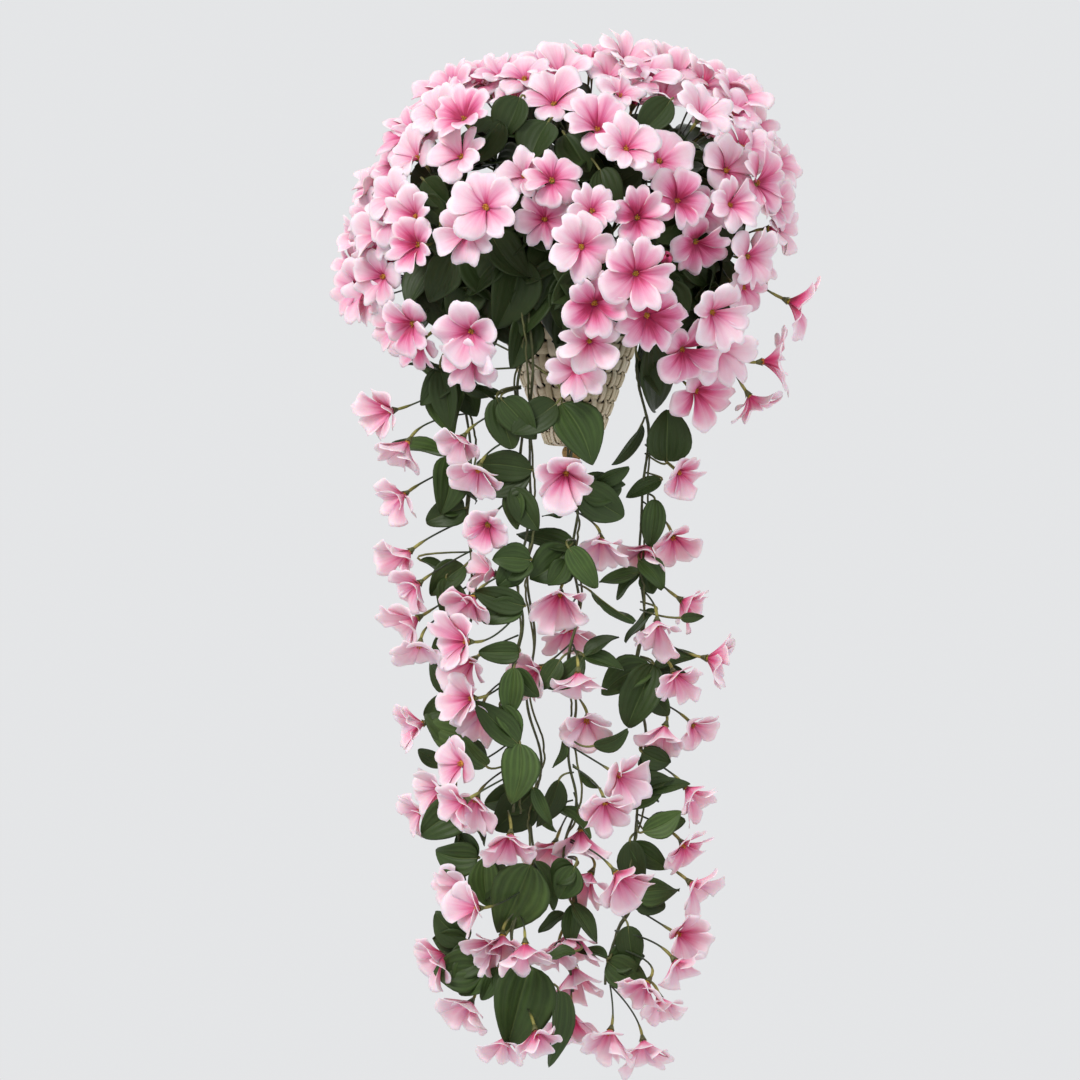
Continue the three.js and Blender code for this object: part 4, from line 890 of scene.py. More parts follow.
class Piece:
    """Collects closed skins in mm, with values for the material at each point, for one object."""

    def __init__(self, *names):
        self.points, self.quads, self.threes = [], [], []
        self.values = {name: [] for name in names}
        self.count = 0

    def add(self, points, quads, threes=(), **values):
        points = np.asarray(points, float).reshape(-1, 3)
        self.points.append(points)
        self.quads.append(np.asarray(quads, int).reshape(-1, 4) + self.count)
        self.threes.append(np.asarray(threes, int).reshape(-1, 3) + self.count)
        for name, store in self.values.items():
            value = np.asarray(values.get(name, 0.0), float)
            store.append(np.broadcast_to(value.reshape(-1) if value.ndim else value, (len(points),)))
        self.count += len(points)

    def shell(self, middle, thickness, **values):
        """A thin closed skin on both sides of a grid of points. Its values are grids; back is 1 behind."""
        rows, columns = middle.shape[:2]
        normal = unit(np.cross(np.gradient(middle, axis=0), np.gradient(middle, axis=1)))
        half = normal * (np.broadcast_to(thickness, (rows, columns))[..., None] / 2)
        index = np.arange(rows * columns).reshape(rows, columns)
        front = [index[:-1, :-1], index[1:, :-1], index[1:, 1:], index[:-1, 1:]]
        front = np.stack(front, axis=-1).reshape(-1, 4)
        loop = np.concatenate([index[:, 0], index[-1, 1:], index[-2::-1, -1], index[0, -2::-1]])
        behind = rows * columns
        edge = np.stack([loop[:-1], loop[:-1] + behind, loop[1:] + behind, loop[1:]], axis=1)
        both = {k: np.tile(np.broadcast_to(v, (rows, columns)).reshape(-1), 2) for k, v in values.items()}
        both["back"] = np.repeat([0.0, 1.0], behind)
        points = np.concatenate([(middle + half).reshape(-1, 3), (middle - half).reshape(-1, 3)])
        self.add(points, np.concatenate([front, front[:, ::-1] + behind, edge]), **both)

    def loft(self, rings, closed=False, **values):
        """A skin through rings counted round the way they follow; its ends are closed, or it meets itself."""
        rings = np.asarray(rings, float)
        n, m = rings.shape[:2]
        index = np.arange(n * m).reshape(n, m)
        a, b = (index, np.roll(index, -1, axis=0)) if closed else (index[:-1], index[1:])
        quads = np.stack([a, np.roll(a, -1, axis=1), np.roll(b, -1, axis=1), b], axis=-1).reshape(-1, 4)
        points, threes = rings.reshape(-1, 3), []
        grids = {k: v if np.ndim(v) == 2 else np.reshape(v, (-1, 1)) for k, v in values.items()}
        spread = {k: np.broadcast_to(v, (n, m)).reshape(-1) for k, v in grids.items()}
        if not closed:
            points = np.vstack([points, rings[0].mean(0), rings[-1].mean(0)])
            first, last = n * m, n * m + 1
            threes = [(first, index[0, (k + 1) % m], index[0, k]) for k in range(m)]
            threes += [(last, index[-1, k], index[-1, (k + 1) % m]) for k in range(m)]
            spread = {k: np.concatenate([v, [v[0], v[-1]]]) for k, v in spread.items()}
        self.add(points, quads, threes, **spread)

    def tube(self, path, radius, sides, **values):
        """A round rod along a path. In a piece of stems, around counts its sides for the grooves."""
        _, side, up = framed(path)
        radius = np.broadcast_to(radius, len(path))[:, None, None]
        if "around" in self.values:
            values["around"] = np.broadcast_to(np.arange(sides) / sides, (len(path), sides))
        self.loft(path[:, None] + circle(side[:, None], up[:, None], turns(sides)) * radius, **values)

    def build(self, name, material, slot, node=None, soft=False):
        """Makes the object. The parts of a soft one that reach the wall lie flat against it."""
        points = np.concatenate(self.points)
        if soft:
            past = np.maximum(points[:, 1] - (WALL - WALL_PRESS), 0)
            points[:, 1] += WALL_PRESS * (1 - np.exp(-past / WALL_PRESS)) - past
        points = points * TO_METRES
        quads, threes = np.concatenate(self.quads), np.concatenate(self.threes)
        mesh = bpy.data.meshes.new(name)
        mesh.vertices.add(len(points))
        mesh.vertices.foreach_set("co", points.astype(np.float32).ravel())
        mesh.loops.add(quads.size + threes.size)
        corners = np.concatenate([quads.ravel(), threes.ravel()]).astype(np.int32)
        mesh.loops.foreach_set("vertex_index", corners)
        mesh.polygons.add(len(quads) + len(threes))
        starts = np.concatenate([np.arange(len(quads)) * 4, quads.size + np.arange(len(threes)) * 3])
        mesh.polygons.foreach_set("loop_start", starts.astype(np.int32))
        mesh.polygons.foreach_set("use_smooth", np.ones(len(starts), bool))
        mesh.update(calc_edges=True)
        mesh.validate()
        for key, store in self.values.items():
            attribute = mesh.attributes.new(key, "FLOAT", "POINT")
            attribute.data.foreach_set("value", np.concatenate(store).astype(np.float32))
        mesh.materials.append(material)
        piece = bpy.data.objects.new(name, mesh)
        bpy.context.scene.collection.objects.link(piece)
        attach(piece, "root")
        if node:
            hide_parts(node)


# ---------------------------------------------------------------- materials


# Ramps of colour from a pattern's lows to its highs. A petal's run from its throat to its rim.
PETAL_FRONT = [
    (0.0, "840C38"), (0.11, "B8265C"), (0.26, "D64A7E"), (0.41, "E17DA2"), (0.57, "E7ABC0"), (0.75, "ECC8D4"),
    (0.92, "EFD6DF"),
]
PETAL_BACK = [(0.0, "A42152"), (0.17, "CF5585"), (0.36, "E08FAE"), (0.62, "E9BCCB"), (0.9, "EED0DA")]
STRAW = [(0.25, "A8986F"), (0.42, "CFC39F"), (0.58, "E3D9BB"), (0.78, "F1EBD8")]
BRAID_STRAW = [(0.25, "7E6B47"), (0.45, "AC9A72"), (0.6, "C4B48E"), (0.8, "D8CCAE")]
RAFFIA_BROWN = [(0.25, "5E4722"), (0.45, "94733A"), (0.62, "B8965A"), (0.8, "D6BC86")]
WIRE_GREY = [(0.3, "3A3D36"), (0.6, "50544A"), (0.8, "6A6C60")]
PAINTED_SHADE_LINER = [(0.3, "0E0F0B"), (0.6, "191A13"), (0.8, "26261B")]
FOAM_GREEN = [(0.3, "232E1B"), (0.55, "37452B"), (0.8, "4C5A3C")]
MOSS_GREEN = [(0.3, "2C3216"), (0.55, "4D5527"), (0.8, "7A7A3F")]
FLOOR_GREY = [(0.3, "D5D6D8"), (0.7, "DEDFE1")]


def colour(code):
    """A colour from its six hexadecimal digits, made linear."""
    parts = [int(code[k:k + 2], 16) / 255 for k in (0, 2, 4)]
    return tuple(p / 12.92 if p <= 0.04045 else ((p + 0.055) / 1.055) ** 2.4 for p in parts) + (1.0,)


class Finish:
    """A node material and short ways to add its nodes."""

    def __init__(self, name):
        self.material = bpy.data.materials.new(name)
        self.material.use_nodes = True
        self.nodes = self.material.node_tree.nodes
        self.links = self.material.node_tree.links
        self.shader = self.nodes["Principled BSDF"]

    def put(self, socket, value):
        if isinstance(value, bpy.types.NodeSocket):
            self.links.new(value, socket)
        else:
            socket.default_value = value

    def attribute(self, name):
        node = self.nodes.new("ShaderNodeAttribute")
        node.attribute_name = name
        return node.outputs["Fac"]

    def maths(self, operation, *values):
        node = self.nodes.new("ShaderNodeMath")
        node.operation = operation
        for socket, value in zip(node.inputs, values):
            self.put(socket, value)
        return node.outputs[0]

    def plus(self, *values):
        return self.maths("ADD", *values)

    def minus(self, *values):
        return self.maths("SUBTRACT", *values)

    def times(self, *values):
        return self.maths("MULTIPLY", *values)

    def spot(self, x, y, z):
        node = self.nodes.new("ShaderNodeCombineXYZ")
        for socket, value in zip(node.inputs, (x, y, z)):
            self.put(socket, value)
        return node.outputs[0]

    def place(self):
        return self.nodes.new("ShaderNodeTexCoord").outputs["Object"]

    def noise(self, vector, scale, detail=3.0, roughness=0.5):
        node = self.nodes.new("ShaderNodeTexNoise")
        self.put(node.inputs["Vector"], vector)
        self.put(node.inputs["Scale"], scale)
        self.put(node.inputs["Detail"], detail)
        self.put(node.inputs["Roughness"], roughness)
        return node.outputs["Fac"]

    def ramp(self, value, stops):
        node = self.nodes.new("ShaderNodeValToRGB")
        self.put(node.inputs[0], value)
        elements = node.color_ramp.elements
        while len(elements) < len(stops):
            elements.new(1.0)
        for element, (at, code) in zip(elements, stops):
            element.position = at
            element.color = colour(code)
        return node.outputs["Color"]

    def mix(self, factor, first, second, how="MIX"):
        node = self.nodes.new("ShaderNodeMix")
        node.data_type = "RGBA"
        node.blend_type = how
        self.put(node.inputs[0], factor)
        self.put(node.inputs[6], first)
        self.put(node.inputs[7], second)
        return node.outputs[2]

    def between(self, value, low, high, to_low=0.0, to_high=1.0):
        node = self.nodes.new("ShaderNodeMapRange")
        for socket, number in zip(node.inputs, (value, low, high, to_low, to_high)):
            self.put(socket, number)
        return node.outputs[0]

    def finish(self, base, roughness, height, strength, distance, **constants):
        self.put(self.shader.inputs["Base Color"], base)
        self.put(self.shader.inputs["Roughness"], roughness)
        bump = self.nodes.new("ShaderNodeBump")
        self.put(bump.inputs["Height"], height)
        bump.inputs["Strength"].default_value = strength
        bump.inputs["Distance"].default_value = distance
        self.put(self.shader.inputs["Normal"], bump.outputs[0])
        for name, value in constants.items():
            self.shader.inputs[name.replace("_", " ")].default_value = value
        return self.material


def petal_finish():
    """Pale pink cloth with a rose throat that runs out along the veins, and a painted highlight along its rims.
    """
    m = Finish("petal_cloth")
    radial, across, tone = m.attribute("radial"), m.attribute("across"), m.attribute("tone")
    streaks = m.noise(m.spot(m.times(across, 9.0), m.times(radial, 1.3), tone), 1.0, 2.0)
    flush = m.noise(m.spot(m.times(across, 1.6), radial, m.times(tone, 53.0)), 1.0, 1.0)
    at = m.plus(radial, m.times(m.minus(streaks, 0.5), 0.22))
    at = m.plus(at, m.times(m.minus(flush, 0.5), 0.66))
    at = m.minus(at, m.times(m.minus(tone, 0.3), 0.5))
    petal = m.ramp(at, PETAL_FRONT)
    behind = m.ramp(at, PETAL_BACK)
    petal = m.mix(m.attribute("back"), petal, behind)
    # Near the rim the colour is mixed toward near white: a painted highlight where light grazes the petal.
    rim = m.between(m.attribute("border"), 0.82, 1.0, 0.0, 0.55)
    petal = m.mix(rim, petal, colour("FDF1F4"))
    weave = m.noise(m.place(), 1900.0, 2.0, 0.6)
    petal = m.mix(0.10, petal, m.ramp(weave, [(0.3, "B9577F"), (0.7, "FFFFFF")]), "SOFT_LIGHT")
    height = m.plus(m.times(streaks, 0.7), m.times(weave, 0.3))
    rough = m.between(streaks, 0.2, 0.8, 0.52, 0.72)
    return m.finish(petal, rough, height, 0.35, 0.0005, Subsurface_Weight=0.18, Subsurface_Scale=0.004,
                    Sheen_Weight=0.25, Sheen_Roughness=0.4)


def eye_finish():
    """The knobbly yellow eye with its orange anthers."""
    m = Finish("eye_grains")
    grains = m.noise(m.place(), 1500.0, 3.0, 0.7)
    level = m.plus(grains, m.times(m.minus(m.attribute("tone"), 0.5), 0.5))
    base = m.ramp(level, [(0.25, "6C6A1E"), (0.42, "B09A2C"), (0.58, "CF9A34"), (0.75, "B0602A")])
    return m.finish(base, 0.7, grains, 0.7, 0.0006)


def leaf_finish():
    """Dark green cloth with lighter ribs that arch from foot to tip, paler below, with painted shade in the
    creases of its pleats and a painted highlight on their ridges.
    """
    m = Finish("leaf_cloth")
    along, across, tone = m.attribute("along"), m.attribute("across"), m.attribute("tone")
    aside = m.maths("ABSOLUTE", across)
    wander = m.times(m.minus(m.noise(m.place(), 120.0, 2.0), 0.5), 0.07)
    rib = m.maths("PINGPONG", m.plus(aside, wander), 1 / 6)
    fading = m.between(along, 0.35, 0.98, 1.0, 0.15)
    ribs = m.times(m.between(rib, 0.0, 0.045, 1.0, 0.0), fading)
    painted_crease_shade = m.times(m.between(rib, 0.015, 0.10, 1.0, 0.0), fading)
    painted_ridge_highlight = m.times(m.between(rib, 0.07, 0.165, 0.0, 1.0), fading)
    middle = m.between(aside, 0.0, 0.055, 1.0, 0.0)
    veins = m.maths("MAXIMUM", m.times(ribs, 0.2), m.times(middle, 0.9))
    mottle = m.noise(m.place(), 60.0, 4.0, 0.6)
    base = m.ramp(m.plus(m.times(mottle, 0.5), m.times(tone, 0.5)), [
        (0.27, "070A05"), (0.42, "151E0D"), (0.6, "2A3B1B"), (0.82, "48602B"),
    ])
    # Painted shade darkens the creases of the pleats, and a painted highlight lightens their ridges.
    base = m.mix(m.times(painted_crease_shade, 0.3), base, colour("0D1308"))
    base = m.mix(m.times(painted_ridge_highlight, m.between(tone, 0.3, 1.0, 0.04, 0.46)), base, colour("648240"))
    base = m.mix(m.times(veins, m.between(tone, 0.0, 0.5, 0.2, 0.6)), base, colour("748A48"))
    edge = m.between(aside, 0.86, 1.0, 0.0, 0.5)
    base = m.mix(edge, base, colour("141C0C"))
    base = m.mix(m.times(m.attribute("back"), 0.45), base, colour("465A30"))
    weave = m.noise(m.place(), 1700.0, 2.0, 0.6)
    height = m.plus(m.times(veins, -0.6), m.times(weave, 0.25))
    rough = m.between(mottle, 0.3, 0.7, 0.36, 0.52)
    return m.finish(base, rough, height, 0.6, 0.0006, Specular_IOR_Level=0.2)


def stem_finish():
    """Moulded stems: olive green, yellower and paler on the young stalks under a bloom."""
    m = Finish("stem_skin")
    young = m.attribute("young")
    mottle = m.noise(m.place(), 160.0, 3.0, 0.6)
    old = m.ramp(mottle, [(0.3, "1E2717"), (0.6, "36432A"), (0.8, "56613E")])
    new = m.ramp(mottle, [(0.3, "7A7A34"), (0.6, "A09A4C"), (0.8, "B9AE66")])
    grooves = m.noise(m.spot(m.times(m.attribute("around"), 8.0), m.attribute("run"), 0.0), 1.0, 2.0)
    return m.finish(m.mix(young, old, new), m.between(mottle, 0.3, 0.7, 0.4, 0.62), grooves, 0.5, 0.0004)


def strip_finish(name, stops, rough_low, rough_high):
    """Flat plant fibre: streaks along the strip, painted shade along its edges, and stains."""
    m = Finish(name)
    run, side, tone = m.attribute("run"), m.attribute("side"), m.attribute("tone")
    spot = m.spot(m.times(run, 0.05), m.times(side, 2.2), m.times(tone, 71.0))
    fibre = m.noise(spot, 1.0, 4.0, 0.65)
    stain = m.noise(m.place(), 45.0, 3.0, 0.6)
    level = m.plus(m.times(fibre, 0.6), m.times(stain, 0.4))
    level = m.plus(level, m.times(m.minus(tone, 0.5), 0.3))
    base = m.ramp(level, stops)
    # The edges of each strip are mixed toward brown as painted shade.
    painted_edge_shade = m.between(m.maths("ABSOLUTE", m.attribute("rim")), 0.75, 1.0, 0.0, 0.55)
    base = m.mix(painted_edge_shade, base, colour("857350"))
    return m.finish(base, m.between(fibre, 0.3, 0.7, rough_low, rough_high), fibre, 0.6, 0.0005)


def plain_finish(name, stops, scale, low, high, strength, **constants):
    """A mottled skin with fine grain: its colours, the mottle's scale, the roughness from low to high."""
    m = Finish(name)
    mottle = m.noise(m.place(), scale, 5.0, 0.65)
    fine = m.noise(m.place(), scale * 7, 3.0, 0.6)
    level = m.plus(m.times(mottle, 0.6), m.times(fine, 0.4))
    rough = m.between(mottle, 0.3, 0.7, low, high)
    return m.finish(m.ramp(level, stops), rough, level, strength, 0.001, **constants)


PETAL = petal_finish()
EYE = eye_finish()
LEAF = leaf_finish()
STEM = stem_finish()
STRIP = strip_finish("basket_strip", STRAW, 0.6, 0.85)
BRAID = strip_finish("rim_strip", BRAID_STRAW, 0.6, 0.85)
RAFFIA = strip_finish("raffia_strip", RAFFIA_BROWN, 0.55, 0.8)
WIRE = plain_finish("coated_wire", WIRE_GREY, 300.0, 0.3, 0.5, 0.3, Metallic=0.5)
# The liner's near-black colours are painted shade, for the dark inside of the basket seen through the weave.
SHADE_LINER = plain_finish("painted_shade_liner", PAINTED_SHADE_LINER, 120.0, 0.6, 0.85, 0.5)
FOAM = plain_finish("cut_foam", FOAM_GREEN, 420.0, 0.85, 0.98, 0.9)
MOSS = plain_finish("dry_moss", MOSS_GREEN, 500.0, 0.8, 0.95, 0.6)


# ---------------------------------------------------------------- blooms


class Plant:
    """The four pieces of a spray or vine while they are made, and its draws."""

    def __init__(self, name, seed):
        self.name = name
        self.rng = np.random.default_rng([SEED, seed])
        self.petals = Piece("radial", "across", "border", "tone", "back")
        self.eyes = Piece("tone")
        self.leaves = Piece("along", "across", "tone", "back")
        self.stems = Piece("young", "run", "around")

    def build(self):
        self.petals.build(self.name + "_petals", PETAL, "petal_pink", self.name, soft=True)
        self.eyes.build(self.name + "_eyes", EYE, "petal_pink", self.name, soft=True)
        self.leaves.build(self.name + "_leaves", LEAF, "leaf_green", self.name, soft=True)
        self.stems.build(self.name + "_stems", STEM, "stem_olive", self.name, soft=True)


def ripple(rng, low, high, t):
    """A wave of a random number of turns and phase."""
    return np.sin(rng.uniform(low, high) * t + rng.uniform(0, 6.28))


def meridian(opening, closing, curl):
    """Along a petal from its foot to past its rim: distance from the axis, height and slope, for length 1."""
    q = np.linspace(0, 1.2, 73)
    angle = np.radians(opening + (closing - opening) * q**1.2 + curl * np.clip((q - 0.7) / 0.3, 0, 1.6) ** 2)
    step = q[1]
    out = np.concatenate([[0], np.cumsum(np.sin(angle[:-1])) * step])
    up = np.concatenate([[0], np.cumsum(np.cos(angle[:-1])) * step])
    return q, out, up, angle


def petal(plant, flower, sides, middle, style, tone):
    """One petal: a strip of a cup with a notched, ruffled rim, that overlaps its neighbour."""
    rng = plant.rng
    s = np.linspace(0.05, 1, PETAL_ROWS)[:, None] ** 0.9
    t = np.linspace(-1, 1, PETAL_COLUMNS)[None, :]
    uneven = style["uneven"]
    opening = style["opening"] + rng.normal(0, uneven * 0.5)
    closing = style["closing"] + rng.normal(0, uneven)
    q, out, up, angle = meridian(opening, closing, style["curl"] + rng.normal(0, 9))
    length = style["radius"] * flower.size / np.interp(1, q, out) * rng.uniform(0.95, 1.04)
    # the outline of its rim
    notch = style["notch"] * rng.uniform(0, 1.9) ** 1.5
    lean = rng.normal(0, 0.06)
    edge = 1 - notch * np.exp(-(((t - lean) / 0.17) ** 2)) - (style["shoulder"] + lean * t) * np.abs(t) ** 2.9
    edge += rng.uniform(0.004, 0.018) * ripple(rng, 5, 9, t)
    reach = s * edge
    rho = np.interp(reach, q, out) * length
    height = np.interp(reach, q, up) * length
    slope = np.interp(reach, q, angle)
    turn = np.radians(style["spread"] * rng.uniform(0.93, 1.06)) * t + middle + rng.normal(0, 0.05) * s**2
    # its rolled sides, the overlap, the groove along its middle and the ruffles of its rim
    roll = style["roll"] * rng.uniform(0.2, 1.7) + rng.normal(0, 1.0)
    lift = roll * np.abs(t) ** 2.1 * s + style["lap"] * t * s * flower.size
    lift += rng.normal(0, 1.2) * t * s**2
    lift -= 0.55 * np.exp(-((t / 0.14) ** 2)) * s * (1.15 - s)
    wave = style["wave"] * rng.uniform(0.4, 1.5)
    lift += wave * s**3 * ripple(rng, 2.4, 5.5, t)
    lift += 0.3 * s**3 * ripple(rng, 5, 8, t)
    rho = np.maximum(rho - lift * np.cos(slope), 0.25)
    height = height + lift * np.sin(slope)
    points = flower.eye + flower.face * height[..., None] + circle(*sides, turn) * rho[..., None]
    # How near each point is to the rim, which sets the painted highlight there.
    border = np.maximum(s, np.abs(t) ** 3 * np.clip((s - 0.4) / 0.4, 0, 1))
    plant.petals.shell(
        points[:, ::-1], PETAL_THICK * (1.25 - 0.5 * s), radial=reach[:, ::-1], across=t[:, ::-1],
        border=border, tone=tone,
    )


def knob(piece, centre, n, radius, height, rng, **values):
    """A small grainy dome."""
    u, v = crosswise(n, rng.uniform(0, 360))
    rings = []
    for part, up in ((0.75, -0.6), (1.0, 0.1), (0.86, 0.6), (0.5, 0.93), (0.16, 1.02)):
        rough = 1 + rng.uniform(-0.16, 0.16, 9)
        rings.append(centre + n * up * height + circle(u, v, turns(9)) * (radius * part * rough)[:, None])
    piece.loft(rings, **values)


def flower_eye(plant, flower, u, v):
    """The yellow eye and its anthers."""
    rng, face = plant.rng, flower.face
    knob(plant.eyes, flower.eye + face * 2.0, face, 2.5 * flower.size, 1.6, rng, tone=rng.uniform(0, 1))
    for k in range(ANTHERS):
        a = 2 * np.pi * (k + rng.uniform(-0.3, 0.3)) / ANTHERS
        way = unit(face * rng.uniform(0.7, 1.2) + u * math.cos(a) * 0.6 + v * math.sin(a) * 0.6)
        start = flower.eye + face * 2.2
        tip = start + way * rng.uniform(2.6, 3.8)
        path = np.array([start, (start + tip) / 2, tip - way * 0.6, tip])
        plant.eyes.tube(path, [0.3, 0.32, 0.62, 0.5], 5, tone=0.9)


def calyx(plant, flower, u, v):
    """A small green cup with five pointed lobes against the petals' backs."""
    lobes = np.where(np.arange(15) % 3 == 0, 1.0, 0.0)
    rings = []
    for part, up, lobe in CALYX:
        ring = circle(u, v, turns(15)) * (part + lobes * lobe * 1.9)[:, None]
        rings.append(flower.eye + flower.face * (up + lobes * lobe * 2.4)[:, None] + ring)
    plant.stems.loft(rings, young=0.25)


def stalk(plant, flower):
    """The stalk, thick and yellow near the bloom, thin and dark near the stem."""
    rng = plant.rng
    foot = flower.eye - flower.face * CALYX_DEPTH
    span = np.linalg.norm(flower.root - foot)
    path = bend(foot, foot - flower.face * span * 0.34, flower.root, 12)
    run = np.linspace(0, span, 12)
    near = 1 / (1 + np.exp((run - rng.uniform(9, 13)) / 1.2))
    plant.stems.tube(path, STALK + 0.55 * near, 6, young=near * rng.uniform(0.7, 1.0), run=run)


def bloom(plant, flower, style, rosy):
    rng = plant.rng
    sides = crosswise(flower.face, flower.turn)
    tone = float(np.clip(rng.normal(0.42, 0.14), 0.2, 0.9)) + (0.45 if rosy else 0)
    flower = flower._replace(size=flower.size * rng.uniform(0.88, 1.09))
    shape = dict(style)
    shape["closing"] += rng.normal(0, 9)
    shape["opening"] += rng.normal(0, 4)
    for k in range(PETALS):
        petal(plant, flower, sides, 2 * np.pi * k / PETALS, shape, tone + rng.normal(0, 0.05))
    flower_eye(plant, flower, *sides)
    calyx(plant, flower, *sides)
    stalk(plant, flower)


def bud(plant, foot, way, root):
    """A closed bloom: three petals wound round each other."""
    foot, root, n = np.array(foot, float), np.array(root, float), facing(*way)
    u, v = crosswise(n, 20)
    s = np.linspace(0.0, 1, 9)[:, None]
    t = np.linspace(-1, 1, 9)[None, :]
    for k in range(3):
        turn = 2 * np.pi * k / 3 + 1.25 * t + 0.9 * s
        rho = 0.3 + (4.3 + 0.35 * t) * np.sin(np.pi * np.minimum(s * 0.93 + 0.03, 1)) ** 0.7
        points = foot + n * (11.5 * s)[..., None] + circle(u, v, turn) * rho[..., None]
        plant.petals.shell(points[:, ::-1], 0.4, radial=0.3 * s, border=0.5, across=t, tone=0.8)
    reach = np.linalg.norm(root - foot)
    path = bend(foot + n * 0.6, foot - n * reach * 0.4, root, 10)
    run = np.linspace(0, reach, 10)
    near = 1 / (1 + np.exp((run - 8) / 1.2))
    plant.stems.tube(path, STALK + 0.6 * near, 6, young=near * 0.8, run=run)
    knob(plant.stems, foot, n, 1.9, 2.0, plant.rng, young=0.3)


# ---------------------------------------------------------------- leaves


def leaf(plant, blade, painted_shade):
    """A pointed leaf with pleats along it, folded and drooping a little, on its stalk."""
    rng, foot, width, root = plant.rng, blade.foot, blade.width, blade.root
    length = np.linalg.norm(blade.tip - foot)
    u = (blade.tip - foot) / length
    n = square_to(blade.face, u)
    v = np.cross(n, u)
    s = (1 - np.cos(np.pi * np.linspace(0, 1, LEAF_ROWS)))[:, None] / 2
    t = np.linspace(-1, 1, LEAF_COLUMNS)[None, :]
    outline = np.maximum(np.sin(np.pi * s ** rng.uniform(0.7, 0.96)), 0) ** rng.uniform(0.46, 0.74)
    outline = np.maximum(outline * (1.04 - 0.16 * s**2), 0.03)
    large = min(max((width - LARGE_LEAF[0]) / (LARGE_LEAF[1] - LARGE_LEAF[0]), 0), 1)
    aside = t * outline * width / 2
    fold, droop = LEAF_FOLD * (rng.uniform(0.7, 2.4) + large), LEAF_DROOP * rng.uniform(0.6, 1.8)
    rise = fold * width * np.abs(t) * outline - droop * length * s**2
    ridge = width * LEAF_PLEAT * (rng.uniform(0.4, 1.4) + 0.15 * large) * np.sin(3 * np.pi * t) ** 2
    rise = rise + ridge * outline * (1 - s**3)
    rise = rise + rng.uniform(0.3, 1.3) * t**2 * ripple(rng, 0.7, 1.6, 2 * np.pi * s)
    rise = rise + rng.normal(0, 0.05) * width * t * s
    sway = rng.normal(0, 0.05) * length * np.sin(np.pi * s)
    twist = rng.normal(0, 0.33) * s
    flat = aside * np.cos(twist) - rise * np.sin(twist)
    high = aside * np.sin(twist) + rise * np.cos(twist)
    points = foot + u * (s * length)[..., None] + v * (flat + sway)[..., None] + n * high[..., None]
    # A leaf's tone varies at random, less the painted shade of where it sits; large vine leaves are lighter.
    tone = float(np.clip(rng.normal(0.48, 0.22) - painted_shade + (0.25 * large if painted_shade <= 0 else 0), 0, 1))
    plant.leaves.shell(points[:, ::-1], LEAF_THICK, along=s, across=t[:, ::-1], tone=tone)
    # its stalk, which runs on under the blade as a rib
    rib = points[:, LEAF_COLUMNS // 2] - n * 0.35
    reach = np.linalg.norm(foot - root)
    path = np.vstack([bend(root, foot - u * reach * 0.35 - n * 0.4, rib[0], 7)[:-1], rib[:10]])
    run = run_along(path)
    radius = np.interp(np.arange(len(path)), [0, 6, len(path) - 1], [0.75, 0.95, 0.3])
    young = np.interp(run, [0, reach, reach * 2], [0.0, 0.45, 0.3])
    plant.stems.tube(path, radius, 5, young=young, run=run)


def tuck(blade):
    """A leaf of the dome moved back until it is behind the blooms that it would cut through."""
    foot, tip, shift = blade.foot, blade.tip, np.zeros(3)
    v = np.cross(blade.face, unit(tip - foot)) * blade.width * 0.36
    spots = np.array([foot + (tip - foot) * f + v * g for f in (0.3, 0.55, 0.8, 1.0) for g in (-1, 0, 1)])
    for _ in range(6):
        away = (spots + shift)[:, None] - DOME_EYES
        front = (away * DOME_FACES).sum(axis=2)
        aside = np.linalg.norm(away - front[..., None] * DOME_FACES, axis=2)
        past = front - 0.22 * aside + 5
        cut = np.where((aside < PETAL_REACH * DOME_SIZES) & (past < 20), past, 0)
        if cut.max() <= 0:
            break
        shift -= DOME_FACES[np.unravel_index(cut.argmax(), cut.shape)[1]] * (cut.max() * 0.8 + 0.5)
    return blade._replace(foot=foot + shift, tip=tip + shift)


def inner_leaves(flowers, path, rng):
    """Leaves under the blooms of a spray, so that the dome has no holes, to be drawn nearly black with painted
    shade.
    """
    for k in range(INNER_LEAVES):
        flower = flowers[k % len(flowers)]
        out = flower.face
        u, _ = crosswise(out, rng.uniform(0, 360))
        aim = flower.eye - out * rng.uniform(15, 46) + u * rng.uniform(2, 30)
        root = path[int(len(path) * rng.uniform(0.72, 0.96))]
        foot = root + (aim - root) * rng.uniform(0.2, 0.4)
        tip = foot + unit(aim - foot) * max(np.linalg.norm(aim - foot), 30)
        yield Blade(foot, tip, square_to(out, aim - foot), rng.uniform(26, 38), root)


def skirt_leaves(path, count, rng):
    """Leaves that hang from a low spray over the front of the basket's rim."""
    for _ in range(count):
        root = path[int(len(path) * rng.uniform(0.6, 0.98))]
        turn = math.atan2(-root[1] * 0.75, root[0]) + rng.normal(0, 0.32)
        turn = min(max(turn, 0.15), math.pi - 0.15)
        way = np.array([math.cos(turn), -math.sin(turn), 0])
        level = rng.uniform(-26, 2)
        foot = np.array([RIM["half"] * 1.08 * way[0], RIM["deep"] * 1.1 * way[1], level])
        tip = foot + way * rng.uniform(2, 14) + np.array([rng.normal(0, 12), 0, -rng.uniform(32, 46)])
        face = unit(way + np.array([rng.normal(0, 0.2), 0, 0.35]))
        yield Blade(foot, tip, face, rng.uniform(28, 36), root)


